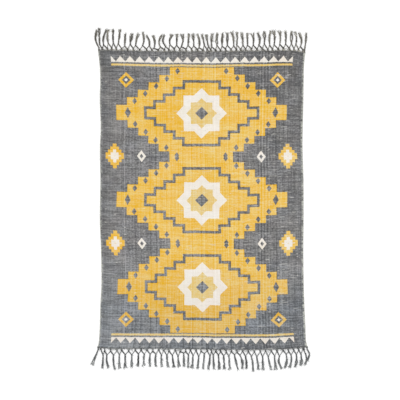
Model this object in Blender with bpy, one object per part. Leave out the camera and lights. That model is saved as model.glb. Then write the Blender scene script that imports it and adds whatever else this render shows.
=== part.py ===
"""A child's flat-woven cotton rug lying on the floor, its warp ends knotted into a fringe at both ends.

Metres, +Z up. The origin is on the floor under the middle of the cloth. +X runs across the rug and
+Y along it, to the far end. Each fringe is laid out with its tassels pointing up the page, its own
left at low numbers, and the near one is then turned half round.
"""

import math
import random

import bmesh
import bpy
from mathutils import Vector

MM = 0.001

# The cloth
CLOTH_LENGTH = 1.300
WAIST_WIDTH = 0.884
CLOTH_THICKNESS = 0.004
EDGE_ROUND = 0.0008
SIDE_STEPS = 30
END_STEPS = 24

# How far the woven sides stand out from the waist's width, in mm.
# along: from -1 at the near end to 1 at the far end; left, right: outwards
SIDE_WANDER = (
    # along, left, right
    (-1.00, 10.0, 12.5),
    (-0.94, 6.0, 10.5),
    (-0.84, 2.5, 8.0),
    (-0.70, 0.0, 4.0),
    (-0.56, -4.5, 1.0),
    (-0.35, -2.5, -0.5),
    (-0.14, 2.5, 0.5),
    (0.13, 0.5, 0.0),
    (0.35, 2.5, -4.0),
    (0.48, -1.0, -3.0),
    (0.67, 3.0, -0.5),
    (0.80, 1.0, 1.0),
    (0.90, 3.5, 2.5),
    (1.00, 10.5, 9.5),
)

# How far the two ends run past the cloth's length, in mm.
# across: from -1 at the left side to 1 at the right side; far, near: outwards
END_WANDER = (
    # across, far, near
    (-1.00, 1.5, -5.0),
    (-0.92, 1.0, -0.5),
    (-0.75, -0.5, 0.0),
    (-0.45, -4.0, 0.0),
    (-0.10, -4.5, 1.5),
    (0.20, -4.5, 3.5),
    (0.45, -3.0, 4.5),
    (0.70, -1.0, 3.0),
    (0.86, -0.5, 0.0),
    (0.95, -3.5, -4.0),
    (1.00, -8.0, -6.0),
)

# The heading: the last few picks of the weave, which the warp ends come out of
HEADING_DEPTH = 0.005
PIECE_GAP = 0.0003
CORNER_INSET = 0.0040

# The heads, where each bundle of warp ends leaves the heading as a fan and is knotted
FAN_HALF = 0.0065
FAN_GAP = 0.0010
HEAD_OUT = 0.0080
HEAD_HALF = 0.0032
HEAD_DEPTH = 0.0042
HEAD_PEAK = 0.0065

# The second row of knots, where two legs meet and a tassel starts
KNOT_DEPTH = 0.0044
KNOT_PEAK = 0.0068
KNOT_STRAY = 0.0020
LEG_HEIGHT = 0.0034
THICK_LEG_HALF = 0.0021
THIN_LEG_HALF = 0.0014

# A tassel's sections, from its knot to its tip.
# share: of its length; half: half its width in mm; height: above the floor in mm
TASSEL_SECTIONS = (
    # share, half, height
    (0.00, 3.0, 5.0),
    (0.07, 4.1, 6.4),
    (0.17, 2.9, 4.6),
    (0.45, 3.5, 5.2),
    (0.78, 3.9, 4.8),
    (1.00, 2.6, 2.6),
)
LEAN_CURVE = 1.3
STEP = 0.01

# A strand's top is this share of its width on the floor
TOP_SHARE = 0.55

# The fringes. knot_out: how far the second knots lie from the heading.
# tassel: its number from the fringe's own left. The rest are in mm, with those between the rows
# worked out from them. shift: the knot, to the right of its even place; belly and lean: the middle
# and the tip, to the right of the knot; reach: the tip from the heading
FAR_FRINGE = {
    "name": "fringe_far",
    "column": 1,
    "turned": False,
    "tassels": 41,
    "knot_out": 0.0230,
    "seed": 7,
    "rows": (
        # tassel, shift, belly, lean, reach
        (0, 0, -12, -5, 87),
        (1, -9, 0, -10, 94),
        (2, -17, -6, 4, 87),
        (3, -24, -4, -1, 91),
        (5, -28, 2, 7, 91),
        (6, -23, 0, 4, 72),
        (8, -20, -1, 11, 75),
        (9, -13, 6, 1, 82),
        (10, -6, 5, -11, 68),
        (11, -9, 8, -5, 68),
        (12, 0, -10, 5, 70),
        (13, 0, -10, -6, 72),
        (15, 2, 0, 2, 75),
        (18, 9, 2, -5, 76),
        (20, 11, 0, -10, 75),
        (21, 7, -2, -10, 74),
        (22, -1, -3, 2, 78),
        (25, -1, 0, 1, 82),
        (26, 4, 3, -9, 87),
        (29, -2, 0, -3, 78),
        (31, 2, 6, -4, 79),
        (33, 5, -3, 5, 87),
        (34, 1, 4, -1, 87),
        (37, 10, 0, 0, 85),
        (39, 4, 7, -5, 81),
        (40, 0, 2, 8, 83),
    ),
}
NEAR_FRINGE = {
    "name": "fringe_near",
    "column": 2,
    "turned": True,
    "tassels": 40,
    "knot_out": 0.0255,
    "seed": 19,
    "rows": (
        # tassel, shift, belly, lean, reach
        (0, 0, -9, -2, 58),
        (1, -10, -4, -4, 76),
        (2, -18, 0, -2, 78),
        (3, -27, -3, 6, 84),
        (5, -32, -5, 5, 84),
        (6, -26, 6, -8, 86),
        (8, -23, 0, -10, 93),
        (11, -18, -3, -9, 97),
        (13, -14, -7, -10, 84),
        (14, -14, 0, -15, 88),
        (15, -13, 0, -5, 86),
        (18, -14, 0, -3, 88),
        (19, -23, 0, 7, 88),
        (22, -18, 0, 5, 84),
        (24, -23, 0, -2, 77),
        (26, -19, 0, -7, 82),
        (29, -17, 3, 0, 78),
        (32, -10, 0, 3, 76),
        (34, 2, 0, 0, 86),
        (36, 7, 3, -4, 89),
        (37, 12, 4, -6, 84),
        (38, 6, 0, 2, 88),
        (39, 0, 2, 28, 76),
    ),
}


def between(rows, at, column):
    """The value of a table's column at a place between its rows, on a smooth curve through them."""
    places = [row[0] for row in rows]
    values = [row[column] for row in rows]
    at = min(max(at, places[0]), places[-1])
    i = max(k for k in range(len(rows) - 1) if places[k] <= at)

    def slope(k):
        low, high = max(k - 1, 0), min(k + 1, len(rows) - 1)
        return (values[high] - values[low]) / (places[high] - places[low])

    span = places[i + 1] - places[i]
    t = (at - places[i]) / span
    start = values[i] * (1 + 2 * t) * (1 - t) ** 2 + slope(i) * span * t * (1 - t) ** 2
    end = values[i + 1] * (3 - 2 * t) * t**2 - slope(i + 1) * span * t**2 * (1 - t)
    return start + end


def straight_between(rows, at, column):
    """The value of a table's column at a place between its rows, on straight runs."""
    low = max((row for row in rows if row[0] <= at), key=lambda row: row[0])
    high = min((row for row in rows if row[0] >= at), key=lambda row: row[0])
    t = 0.0 if low is high else (at - low[0]) / (high[0] - low[0])
    return low[column] + (high[column] - low[column]) * t


def evenly(start, end, steps):
    """The numbers from start to end, both included, in so many steps."""
    return [start + (end - start) * i / steps for i in range(steps + 1)]


# The ends' smooth curves as the short straight runs that the cloth and the headings share
END_RUNS = [
    (across, between(END_WANDER, across, 1), between(END_WANDER, across, 2))
    for across in evenly(-1.0, 1.0, END_STEPS)
]


def side_x(y, sign):
    """Where the left (-1) or right (1) side of the cloth lies at y."""
    out = between(SIDE_WANDER, y / (CLOTH_LENGTH / 2), 1 if sign < 0 else 2)
    return sign * (WAIST_WIDTH / 2 + out * MM)


def end_out(x, column):
    """How far the far (column 1) or near (column 2) end lies from the middle of the rug at x."""
    across = min(max(x / (WAIST_WIDTH / 2), -1.0), 1.0)
    return CLOTH_LENGTH / 2 + straight_between(END_RUNS, across, column) * MM


def corner(sign, column):
    """The (x, y) of the cloth's own corner: sign is the side's, column the end's."""
    way = 1 if column == 1 else -1
    y = way * (CLOTH_LENGTH / 2)
    x = side_x(y, sign)
    return x, way * (end_out(x, column) - HEADING_DEPTH - PIECE_GAP)


def cloth_outline():
    """The cloth's outline on the floor, anticlockwise from its near left corner."""
    near_left, near_right = corner(-1, 2), corner(1, 2)
    far_right, far_left = corner(1, 1), corner(-1, 1)
    cut = HEADING_DEPTH + PIECE_GAP
    inner_stops = [row[0] * WAIST_WIDTH / 2 for row in END_RUNS]
    near = [(x, -(end_out(x, 2) - cut)) for x in inner_stops]
    far = [(x, end_out(x, 1) - cut) for x in reversed(inner_stops)]
    right = [(side_x(y, 1), y) for y in evenly(near_right[1], far_right[1], SIDE_STEPS)]
    left = [(side_x(y, -1), y) for y in evenly(far_left[1], near_left[1], SIDE_STEPS)]
    return [*near, *right, *far, *left]


def material(name, color, roughness):
    """A plain material of that colour."""
    made = bpy.data.materials.new(name)
    made.use_nodes = True
    shader = made.node_tree.nodes["Principled BSDF"]
    shader.inputs["Base Color"].default_value = (*color, 1.0)
    shader.inputs["Roughness"].default_value = roughness
    shader.inputs["Metallic"].default_value = 0.0
    return made


def add_object(name, shape, finish):
    """An object of that bmesh, with that material."""
    mesh = bpy.data.meshes.new(name)
    shape.to_mesh(mesh)
    shape.free()
    mesh.materials.append(finish)
    made = bpy.data.objects.new(name, mesh)
    bpy.context.scene.collection.objects.link(made)
    return made


def build_cloth(finish):
    """The cloth: its outline as one face, raised to its thickness, with the upper edge softened."""
    shape = bmesh.new()
    underside = shape.faces.new([shape.verts.new((x, y, 0.0)) for x, y in cloth_outline()])
    raised = bmesh.ops.extrude_face_region(shape, geom=[underside])["geom"]
    upper = [part for part in raised if isinstance(part, bmesh.types.BMVert)]
    bmesh.ops.translate(shape, verts=upper, vec=(0.0, 0.0, CLOTH_THICKNESS))
    rim = [part for part in raised if isinstance(part, bmesh.types.BMEdge)]
    bmesh.ops.bevel(shape, geom=rim, offset=EDGE_ROUND, segments=1, affect="EDGES")
    bmesh.ops.recalc_face_normals(shape, faces=shape.faces[:])
    return add_object("cloth", shape, finish)


class Net:
    """Flat cells on the floor that share corners, raised into one solid at the end."""

    def __init__(self):
        self.shape = bmesh.new()
        self.top = self.shape.verts.layers.float_vector.new("top")
        self.peak = self.shape.faces.layers.float.new("peak")

    def add_corner(self, foot, height, middle=None):
        """Adds a corner whose top stands that high, drawn in towards its strand's middle."""
        drawn = Vector(middle or foot).lerp(Vector(foot), TOP_SHARE)
        made = self.shape.verts.new((*foot, 0.0))
        made[self.top] = (*drawn, height)
        return made

    def add_cell(self, *corners, peak=0.0):
        """Adds a cell, anticlockwise from above. A knot's cell has a peak of that height."""
        self.shape.faces.new(corners)[self.peak] = peak

    def raised(self):
        """The closed solid: the cells' feet, their tops above them, and walls round the rim."""
        made = bmesh.ops.extrude_face_region(self.shape, geom=self.shape.faces[:])["geom"]
        for vert in (part for part in made if isinstance(part, bmesh.types.BMVert)):
            vert.co = vert[self.top]
        for face in [part for part in made if isinstance(part, bmesh.types.BMFace)]:
            peak = face[self.peak]
            if peak:
                bmesh.ops.poke(self.shape, faces=[face])["verts"][0].co.z = peak
        bmesh.ops.recalc_face_normals(self.shape, faces=self.shape.faces[:])
        return self.shape


class Fringe:
    """One end's fringe, laid out with x along the heading and y the way that the tassels point."""

    def __init__(self, facts):
        self.facts = facts
        self.net = Net()
        self.way = -1 if facts["turned"] else 1
        self.left = self.way * corner(-self.way, facts["column"])[0]
        self.right = self.way * corner(self.way, facts["column"])[0]
        self.last = facts["tassels"] - 1
        chance = random.Random(facts["seed"])
        self.knots = [self.knot(i, chance) for i in range(facts["tassels"])]

    def heading_y(self, x):
        """Where the heading's outer edge lies, from the middle of the rug."""
        return end_out(self.way * x, self.facts["column"])

    def row(self, i, column):
        """A column of the fringe's table for tassel i, in metres."""
        return straight_between(self.facts["rows"], i, column) * MM

    def knot(self, i, chance):
        """Where tassel i starts: its knot, or its head if it hangs straight from a corner."""
        first, end = self.left + CORNER_INSET, self.right - CORNER_INSET
        x = first + (end - first) * i / self.last + self.row(i, 1)
        out = self.facts["knot_out"] + chance.uniform(-KNOT_STRAY, KNOT_STRAY)
        if i in (0, self.last):
            out = HEAD_OUT
        return x, self.heading_y(x) + out

    def heads(self):
        """Where the heads stand along the heading: between each two knots, clear of the corners."""
        clear = 2 * CORNER_INSET + FAN_HALF + PIECE_GAP
        middles = [(a[0] + b[0]) / 2 for a, b in zip(self.knots, self.knots[1:])]
        return [min(max(x, self.left + clear), self.right - clear) for x in middles]

    def fans(self, heads):
        """The (left, right) feet of each fan of warp ends, the two corners' included."""
        spans = [[x - FAN_HALF, x + FAN_HALF] for x in heads]
        for a, b in zip(spans, spans[1:]):
            if b[0] - a[1] < PIECE_GAP:
                middle = (a[1] + b[0]) / 2
                a[1], b[0] = middle - FAN_GAP / 2, middle + FAN_GAP / 2
        first = [self.left, self.left + 2 * CORNER_INSET]
        end = [self.right - 2 * CORNER_INSET, self.right]
        return [first, *spans, end]

    def add_heading(self, fans):
        """Adds the strip that the fans come out of, and returns the corners at each fan's feet."""
        stops = sorted({self.left, self.right, *(x for fan in fans for x in fan)})
        inner, outer = {}, {}
        for x in stops:
            y = self.heading_y(x)
            inner[x] = self.net.add_corner((x, y - HEADING_DEPTH), CLOTH_THICKNESS)
            outer[x] = self.net.add_corner((x, y), CLOTH_THICKNESS - EDGE_ROUND)
        for a, b in zip(stops, stops[1:]):
            self.net.add_cell(inner[a], inner[b], outer[b], outer[a])
        return [(outer[a], outer[b]) for a, b in fans]

    def add_head(self, x, feet, knotted):
        """Adds a fan and its head, and returns the head's left, right and, if knotted, outer corner."""
        y = self.heading_y(x) + HEAD_OUT
        right = self.net.add_corner((x + HEAD_HALF, y), CLOTH_THICKNESS, (x, y))
        left = self.net.add_corner((x - HEAD_HALF, y), CLOTH_THICKNESS, (x, y))
        self.net.add_cell(*feet, right, left)
        if not knotted:
            return left, right, None
        middle = (x, y + HEAD_DEPTH / 3)
        outer = self.net.add_corner((x, y + HEAD_DEPTH), CLOTH_THICKNESS, middle)
        self.net.add_cell(left, right, outer, peak=HEAD_PEAK)
        return left, right, outer

    def add_knot(self, i):
        """Adds tassel i's knot and the tassel, and returns the knot's crotch, right and left."""
        x, y = self.knots[i]
        _, half, height = TASSEL_SECTIONS[0]
        middle = (x, y - KNOT_DEPTH / 3)
        crotch = self.net.add_corner((x, y - KNOT_DEPTH), height * MM, middle)
        right = self.net.add_corner((x + half * MM, y), height * MM, middle)
        left = self.net.add_corner((x - half * MM, y), height * MM, middle)
        self.net.add_cell(crotch, right, left, peak=KNOT_PEAK)
        self.add_tassel(i, left, right)
        return crotch, right, left

    def add_leg(self, low_start, high_start, low_end, high_end, half):
        """Adds a leg between two pairs of corners, from its left end to its right, thin between."""
        low = low_start.co.lerp(low_end.co, 0.5).xy
        high = high_start.co.lerp(high_end.co, 0.5).xy
        middle = low.lerp(high, 0.5)
        reach = half / (high - middle).length
        waist = [
            self.net.add_corner(middle.lerp(side, reach), LEG_HEIGHT, middle)
            for side in (low, high)
        ]
        self.net.add_cell(low_start, waist[0], waist[1], high_start)
        self.net.add_cell(waist[0], low_end, high_end, waist[1])

    def centre(self, i, share):
        """The point at that share of the way down tassel i's middle."""
        x, y = self.knots[i]
        tip = self.heading_y(x) + self.row(i, 4)
        bend = self.row(i, 2) * math.sin(math.pi * share) + self.row(i, 3) * share**LEAN_CURVE
        return Vector((x + bend, y + (tip - y) * share))

    def add_tassel(self, i, left, right):
        """Adds tassel i, section by section, from the corners it starts at."""
        for share, half, height in TASSEL_SECTIONS[1:]:
            middle = self.centre(i, share)
            run = self.centre(i, share + STEP) - self.centre(i, share - STEP)
            side = Vector((run.y, -run.x)).normalized() * half * MM
            new_left = self.net.add_corner(middle - side, height * MM, middle)
            new_right = self.net.add_corner(middle + side, height * MM, middle)
            self.net.add_cell(left, right, new_right, new_left)
            left, right = new_left, new_right

    def build(self, finish):
        """Adds every piece of the fringe and returns its object."""
        heads = self.heads()
        feet = self.add_heading(self.fans(heads))
        for i, ends in ((0, feet[0]), (self.last, feet[-1])):
            left, right, _ = self.add_head(self.knots[i][0], ends, knotted=False)
            self.add_tassel(i, left, right)
        knots = {i: self.add_knot(i) for i in range(1, self.last)}
        for j, x in enumerate(heads):
            # A head beside a corner sends out one leg and takes no knot.
            to_left, to_right = j > 0, j < self.last - 1
            left, right, outer = self.add_head(x, feet[j + 1], knotted=to_left and to_right)
            if to_right:
                crotch, _, knot_left = knots[j + 1]
                self.add_leg(right, outer or left, crotch, knot_left, THIN_LEG_HALF)
            if to_left:
                crotch, knot_right, _ = knots[j]
                self.add_leg(crotch, knot_right, left, outer or right, THICK_LEG_HALF)
        made = add_object(self.facts["name"], self.net.raised(), finish)
        made.rotation_euler.z = math.pi if self.facts["turned"] else 0.0
        return made


def clear_scene():
    """Removes every object that the scene starts with."""
    for found in list(bpy.data.objects):
        bpy.data.objects.remove(found)


def main():
    clear_scene()
    build_cloth(material("printed_cotton", (0.62, 0.45, 0.16), 0.92))
    yarn = material("charcoal_yarn", (0.19, 0.19, 0.18), 0.95)
    for facts in (FAR_FRINGE, NEAR_FRINGE):
        Fringe(facts).build(yarn)


main()
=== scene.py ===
"""Looks for a child's flat-woven cotton rug: printed cloth, woven sides and a knotted fringe at each end.

Metres, +Z up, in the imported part's own frame. +X runs across the rug and +Y along it. A point of the
cloth also has a flat place, (across, along), which is where it lay on the loom before it wandered.
"""

import logging
import math
import random
from dataclasses import dataclass
from enum import Enum
from functools import cached_property, partialmethod

import bpy
import numpy as np
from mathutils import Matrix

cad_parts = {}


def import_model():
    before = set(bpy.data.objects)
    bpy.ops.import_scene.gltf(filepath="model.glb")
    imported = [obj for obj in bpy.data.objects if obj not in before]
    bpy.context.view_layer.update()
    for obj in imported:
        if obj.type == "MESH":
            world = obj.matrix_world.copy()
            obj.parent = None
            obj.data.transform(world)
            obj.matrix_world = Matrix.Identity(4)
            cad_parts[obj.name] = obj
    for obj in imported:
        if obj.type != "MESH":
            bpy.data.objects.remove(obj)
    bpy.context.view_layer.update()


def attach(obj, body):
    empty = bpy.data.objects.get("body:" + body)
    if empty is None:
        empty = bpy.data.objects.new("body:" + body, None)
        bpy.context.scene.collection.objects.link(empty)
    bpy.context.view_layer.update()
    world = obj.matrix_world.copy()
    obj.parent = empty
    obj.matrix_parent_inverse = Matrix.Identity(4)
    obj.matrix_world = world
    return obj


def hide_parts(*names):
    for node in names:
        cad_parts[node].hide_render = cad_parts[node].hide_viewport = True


MM = 0.001
CLOTH_SLOT = "printed_cotton"
YARN_SLOT = "fringe_yarn"
log = logging.getLogger("rug")

Rows = tuple[tuple[float, ...], ...]
Pair = tuple[float, float]
Triple = tuple[float, float, float]
Colour = Triple
Array = np.ndarray
Socket = bpy.types.NodeSocket
Paint = Socket | Colour


class Edge(Enum):
    """The rug's two short ends, which the fringes hang from, and its two long woven sides."""

    FAR = "far"
    NEAR = "near"
    LEFT = "left"
    RIGHT = "right"

    @property
    def way(self) -> int:
        """1 where it faces +X or +Y, and -1 where it faces the other way."""
        return 1 if self in (Edge.FAR, Edge.RIGHT) else -1

    @property
    def column(self) -> int:
        """Its column in the table of how the ends or the sides wander."""
        return 1 if self in (Edge.FAR, Edge.LEFT) else 2


class Spread(Enum):
    """How the warp ends of a head lie where they leave the cloth."""

    CLOSE = (1.05, 0.0013, 0.0022, (0.26, 0.06))
    OPEN = (0.5, 0.0026, 0.0034, (0.62, 0.22))

    def __init__(self, slant: float, thick_gap: float, thin_gap: float, bare: Pair) -> None:
        """Names what sets the two apart.

        Args:
            slant: How much of their fringe's slant those of the thick leg have.
            thick_gap: How far apart those of the thick leg are.
            thin_gap: How far apart those of the thin leg are.
            bare: How much undyed cotton shows on them at the cloth and at the head.
        """
        self.slant, self.thick_gap, self.thin_gap, self.bare = slant, thick_gap, thin_gap, bare


class Fibre(Enum):
    """The kinds of loose fibre."""

    TUFT = (1.1, (0.0025, 0.0160), 0.00036, (0.05, 0.55))
    FLUFF = (1.9, (0.0030, 0.0145), 0.00034, (0.10, 0.75))
    LINT = (2.2, (0.0040, 0.0180), 0.00029, (0.20, 0.90))
    RAVEL = (1.8, (0.0020, 0.0085), 0.00036, (0.00, 0.65))

    def __init__(self, curl: float, lengths: Pair, radius: float, bare: Pair) -> None:
        """Names what sets them apart.

        Args:
            curl: How strongly they curl, in radians over their length.
            lengths: The shortest and the longest.
            radius: Half their thickness.
            bare: The least and the most undyed cotton that shows on them.
        """
        self.curl, self.lengths, self.radius, self.bare = curl, lengths, radius, bare


class Parting(Enum):
    """How the yarns of a loose tassel part."""

    NONE = "they stay together"
    LOOP = "they bow apart and meet again"
    FORK = "they part in two towards the tip"
    FLARE = "they spread like a brush towards the tip"


# Along, and how far the left and right sides stand out from the waist's width there, in mm
SIDE_WANDER: Rows = (
    (-1.00, 14.5, 19.5), (-0.957, 7.2, 12.2), (-0.94, 6.0, 10.5), (-0.84, 2.5, 8.0), (-0.70, 0.0, 4.0),
    (-0.56, -4.5, 1.0), (-0.35, -2.5, -0.5), (-0.14, 2.5, 0.5), (0.13, 0.5, 0.0), (0.35, 2.5, -4.0),
    (0.48, -1.0, -3.0), (0.67, 3.0, -0.5), (0.80, 1.0, 1.0), (0.90, 3.5, 2.5), (1.00, 10.5, 9.5),
)

# Across, and how far the far and near ends run past the cloth's length there, in mm
END_WANDER: Rows = (
    (-1.00, 1.5, -5.0), (-0.92, 1.0, -0.5), (-0.75, -0.5, 0.0), (-0.45, -4.0, 0.0), (-0.10, -4.5, 1.5),
    (0.20, -4.5, 3.5), (0.45, -3.0, 4.5), (0.70, -1.0, 3.0), (0.86, -0.5, 0.0), (0.95, -3.5, -4.0),
    (1.00, -8.0, -6.0),
)

# Each fringe's tassels, numbered from its own left. In mm: how far the knot stands to the right of its
# even place, how far the middle and the tip then bend to the right, and the tip's reach
TASSELS: dict[Edge, Rows] = {
    Edge.FAR: (
        (0, 0, -12, -9, 87), (1, -20, -1, -2, 95), (2, -25, -6, 13, 88), (3, -27, -5, 0, 91),
        (4, -28, -1, 0, 91), (5, -29, 2, 7, 91), (6, -23, 0, 4, 72), (8, -20, -1, 11, 75),
        (9, -13, 6, 1, 82), (10, -6, 5, -11, 68), (11, -9, 8, -5, 68), (12, 0, -10, 5, 70),
        (13, 0, -10, -6, 72), (14, -4, -5, 8, 73), (15, 2, 0, 2, 75), (16, -1, 6, 5, 75),
        (17, 7, 0, 4, 76), (18, 9, 2, -5, 76), (19, 10, 5, -8, 76), (20, 11, 0, -10, 75),
        (21, 7, -2, -10, 74), (22, -1, -3, 2, 78), (25, -1, 0, 1, 82), (26, 4, 3, -9, 87),
        (27, -5, 2, 1, 84), (28, 0, 1, -5, 81), (29, -2, 0, -3, 78), (31, 2, 6, -4, 79),
        (33, 5, -3, 5, 87), (34, 1, 4, -1, 87), (37, 10, 0, 0, 85), (39, 4, 7, -5, 81),
        (40, 0, 2, 8, 83),
    ),
    Edge.NEAR: (
        (0, 0, -11, -1, 58), (1, -17, -5, 2, 77), (2, -21, -3, 3, 80), (3, -24, -3, 5, 84),
        (4, -24, -4, 5, 84), (5, -26, -5, 5, 84), (6, -21, 6, -8, 86), (7, -23, 1, -6, 90),
        (8, -18, 0, -14, 90), (9, -17, 0, -3, 90), (10, -15, -1, -7, 87), (11, -14, -3, -9, 94),
        (12, -12, -3, -3, 83), (13, -11, -7, -10, 84), (14, -11, 0, -15, 88), (15, -10, 0, -5, 86),
        (18, -12, 0, -3, 88), (19, -21, 0, 7, 88), (22, -17, 0, 5, 84), (24, -23, 0, -2, 77),
        (26, -20, 0, -7, 82), (29, -19, 3, 0, 78), (32, -12, 0, 3, 76), (34, -1, 0, 0, 86),
        (36, 3, 3, -4, 89), (37, 8, 4, -6, 84), (38, 2, 0, 2, 88), (39, 0, 2, 28, 76),
    ),
}

# Each fringe's loose tassels: from and to which share of the tassel its yarns part, how far in mm,
# how frizzy it is, and whether its fibres stand out to the left, to the right or both ways
LOOSE: dict[Edge, dict[Parting, Rows]] = {
    Edge.FAR: {
        Parting.NONE: (
            (0, 0, 1, 0, 1, 1), (1, 0.5, 1, 0, 0.5, 0), (2, 0.2, 0.6, 0, 0.5, 1),
            (4, 0.75, 1, 0, 0.9, -1), (5, 0.8, 1, 0, 0.6, 1), (13, 0, 0.3, 0, 0.7, 1),
            (14, 0.85, 1, 0, 1.8, 0), (21, 0.85, 1, 0, 0.7, 1), (24, 0.3, 0.9, 0, 1.1, 1),
        ),
        Parting.LOOP: (
            (3, 0.15, 0.55, 2, 1.2, 1), (7, 0.3, 0.98, 3.6, 2.6, 1), (19, 0.2, 0.7, 2.6, 0.8, 0),
            (22, 0.35, 0.85, 1.8, 2, 1), (23, 0.1, 0.6, 4.2, 0.6, 0), (25, 0.3, 0.9, 3.2, 0.8, 0),
            (31, 0.3, 0.85, 3, 1.6, 0), (32, 0.5, 1.02, 5, 1, 0), (37, 0.12, 0.98, 4.8, 0.4, 0),
        ),
        Parting.FORK: (
            (16, 0.6, 1, 5, 1.2, 0), (18, 0.66, 1, 4.2, 1, 0), (26, 0.55, 1, 4.6, 1.2, 1),
            (30, 0.45, 1, 6.5, 0.8, 0), (35, 0.6, 1, 6, 1.2, 1),
        ),
        Parting.FLARE: (
            (9, 0.8, 1, 1.5, 0.6, 0), (11, 0.8, 1, 2, 1.8, 1), (15, 0.7, 1, 2.5, 1, 0),
            (17, 0.7, 1, 2, 1.2, 0), (20, 0.3, 1, 1.2, 0.3, 0), (28, 0.1, 1, 2.6, 1.6, 0),
            (29, 0.5, 1, 1.6, 0.8, 1), (33, 0.3, 1, 2.6, 1.2, 0), (34, 0.45, 1, 6.5, 2, 0),
            (38, 0.2, 1, 1.6, 0.2, 0), (39, 0.3, 1, 1.8, 0.2, 0),
        ),
    },
    Edge.NEAR: {
        Parting.NONE: (
            (0, 0.3, 1, 0, 0.6, 0), (5, 0.2, 1, 0, 1.1, -1), (10, 0.4, 1, 0, 1.1, -1),
            (12, 0.2, 1, 0, 1.4, -1), (16, 0.5, 1, 0, 1.1, 0), (24, 0.3, 1, 0, 1.3, 0),
            (29, 0.6, 1, 0, 0.4, 1),
        ),
        Parting.LOOP: (
            (2, 0.4, 0.95, 3, 1.4, 0), (3, 0.45, 0.95, 3.8, 0.6, -1), (6, 0.3, 0.7, 2, 0.3, 0),
            (13, 0.3, 0.8, 2.6, 1.4, 0), (27, 0.1, 0.5, 2.4, 0.3, 0),
        ),
        Parting.FORK: (
            (4, 0.7, 1, 4.5, 0.6, 0), (7, 0.5, 1, 6, 0.8, 0), (15, 0.75, 1, 4, 0.5, 0),
            (22, 0.66, 1, 4.6, 0.6, 0), (26, 0.66, 1, 4.5, 0.5, 0), (33, 0.6, 1, 3.2, 0.8, 0),
            (34, 0.45, 1, 5.2, 1, 0), (35, 0.55, 1, 4.6, 0.6, 0),
        ),
        Parting.FLARE: (
            (8, 0.5, 1, 2.5, 0.5, 0), (9, 0.3, 1, 5, 2, 0), (17, 0.75, 1, 2.6, 1.2, 0),
            (18, 0.4, 1, 2.4, 1, 0), (20, 0.5, 1, 2, 0.3, 0), (21, 0.5, 1, 3.2, 0.6, 0),
            (23, 0.4, 1, 3.6, 0.8, 0), (25, 0.5, 1, 5.6, 1.2, 0), (28, 0.2, 1, 4.6, 0.8, 0),
            (30, 0.75, 1, 3, 1, 0), (31, 0.3, 1, 6, 1, 0), (32, 0.8, 1, 2.6, 1, 0),
            (36, 0.8, 1, 2.2, 1, -1), (39, 0.4, 1, 6.5, 1.8, 0),
        ),
    },
}

# How much further from the cloth than their mean each fringe's knots lie, in mm, tassel by tassel
KNOTS: dict[Edge, tuple[float, ...]] = {
    Edge.FAR: (
        *(0, 0, -3, 8, 7, 4.5, -4, 3, -0.5, -1.5, -0.5, -11, -5.5, -5.5, 6.5, 3, -5.5, -0.5, -1.5, -9, 0),
        *(-3, -6.5, 3, -1.5, 3, -0.5, 2, 2, -0.5, -0.5, 0, 5.5, 0.5, 2, 3, 2, 7, 5.5, -4, 0),
    ),
    Edge.NEAR: (
        *(0, -1, 3, 1, 1.5, -6, 4, 3.5, 4.5, 7, 5.5, 2.5, 4.5, -2, -4.5, 0, 1.5, -1, -2, 1.5),
        *(-8.5, 4, 0, -1, -8.5, 5, 0, 2, 1, -3.5, -5, -4.5, -5, -3, -0.5, -1.5, -0.5, -0.5, 6.5, 0),
    ),
}


def srgb(red: int, green: int, blue: int) -> Colour:
    """The linear colour of a screen colour, whose parts are given in 0 to 255."""
    parts = (value / 255 for value in (red, green, blue))
    return tuple(p / 12.92 if p <= 0.04045 else ((p + 0.055) / 1.055) ** 2.4 for p in parts)


def smooth_between(rows: Rows, at: Array, column: int) -> Array:
    """A table's column at places between its rows, on the smooth curve that the part's source uses.

    Args:
        rows: The table, its places in the first column.
        at: The places to read.
        column: The column to read.

    Returns:
        One value for each place.
    """
    places, values = np.array(rows)[:, (0, column)].T
    at = np.clip(at, places[0], places[-1])
    i = np.clip(np.searchsorted(places, at, side="right") - 1, 0, len(rows) - 2)
    low = np.maximum(np.arange(len(rows)) - 1, 0)
    high = np.minimum(np.arange(len(rows)) + 1, len(rows) - 1)
    slopes = (values[high] - values[low]) / (places[high] - places[low])
    span = places[i + 1] - places[i]
    t = (at - places[i]) / span
    start = values[i] * (1 + 2 * t) * (1 - t) ** 2 + slopes[i] * span * t * (1 - t) ** 2
    end = values[i + 1] * (3 - 2 * t) * t**2 - slopes[i + 1] * span * t**2 * (1 - t)
    return start + end


def straight_between(rows: Rows | Array, at: Array | float, column: int) -> Array:
    """A table's column at places between its rows, on straight runs."""
    return np.interp(at, *np.array(rows)[:, (0, column)].T)


def unit(vectors: Array) -> Array:
    """Those vectors, each of length one."""
    return vectors / np.maximum(np.linalg.norm(vectors, axis=-1, keepdims=True), 1e-9)


def rightwards(ways: Array) -> Array:
    """The way to the right of each of those flat ways."""
    return ways[..., ::-1] * (1, -1)


def raised(flat: Array, height: Array) -> Array:
    """Flat points lifted to those heights."""
    return np.concatenate([flat, height[..., None]], axis=-1)


def quads_between(*corners: Array) -> Array:
    """Faces of four, from the numbers of their first, second, third and fourth corners."""
    return np.stack(corners, axis=-1).reshape(-1, 4)


def shown(name: str, data: bpy.types.ID) -> bpy.types.Object:
    """Puts a mesh, light or camera in the scene.

    Args:
        name: The new object's name.
        data: What it shows.

    Returns:
        The object.
    """
    made = bpy.data.objects.new(name, data)
    bpy.context.scene.collection.objects.link(made)
    return made


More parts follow.
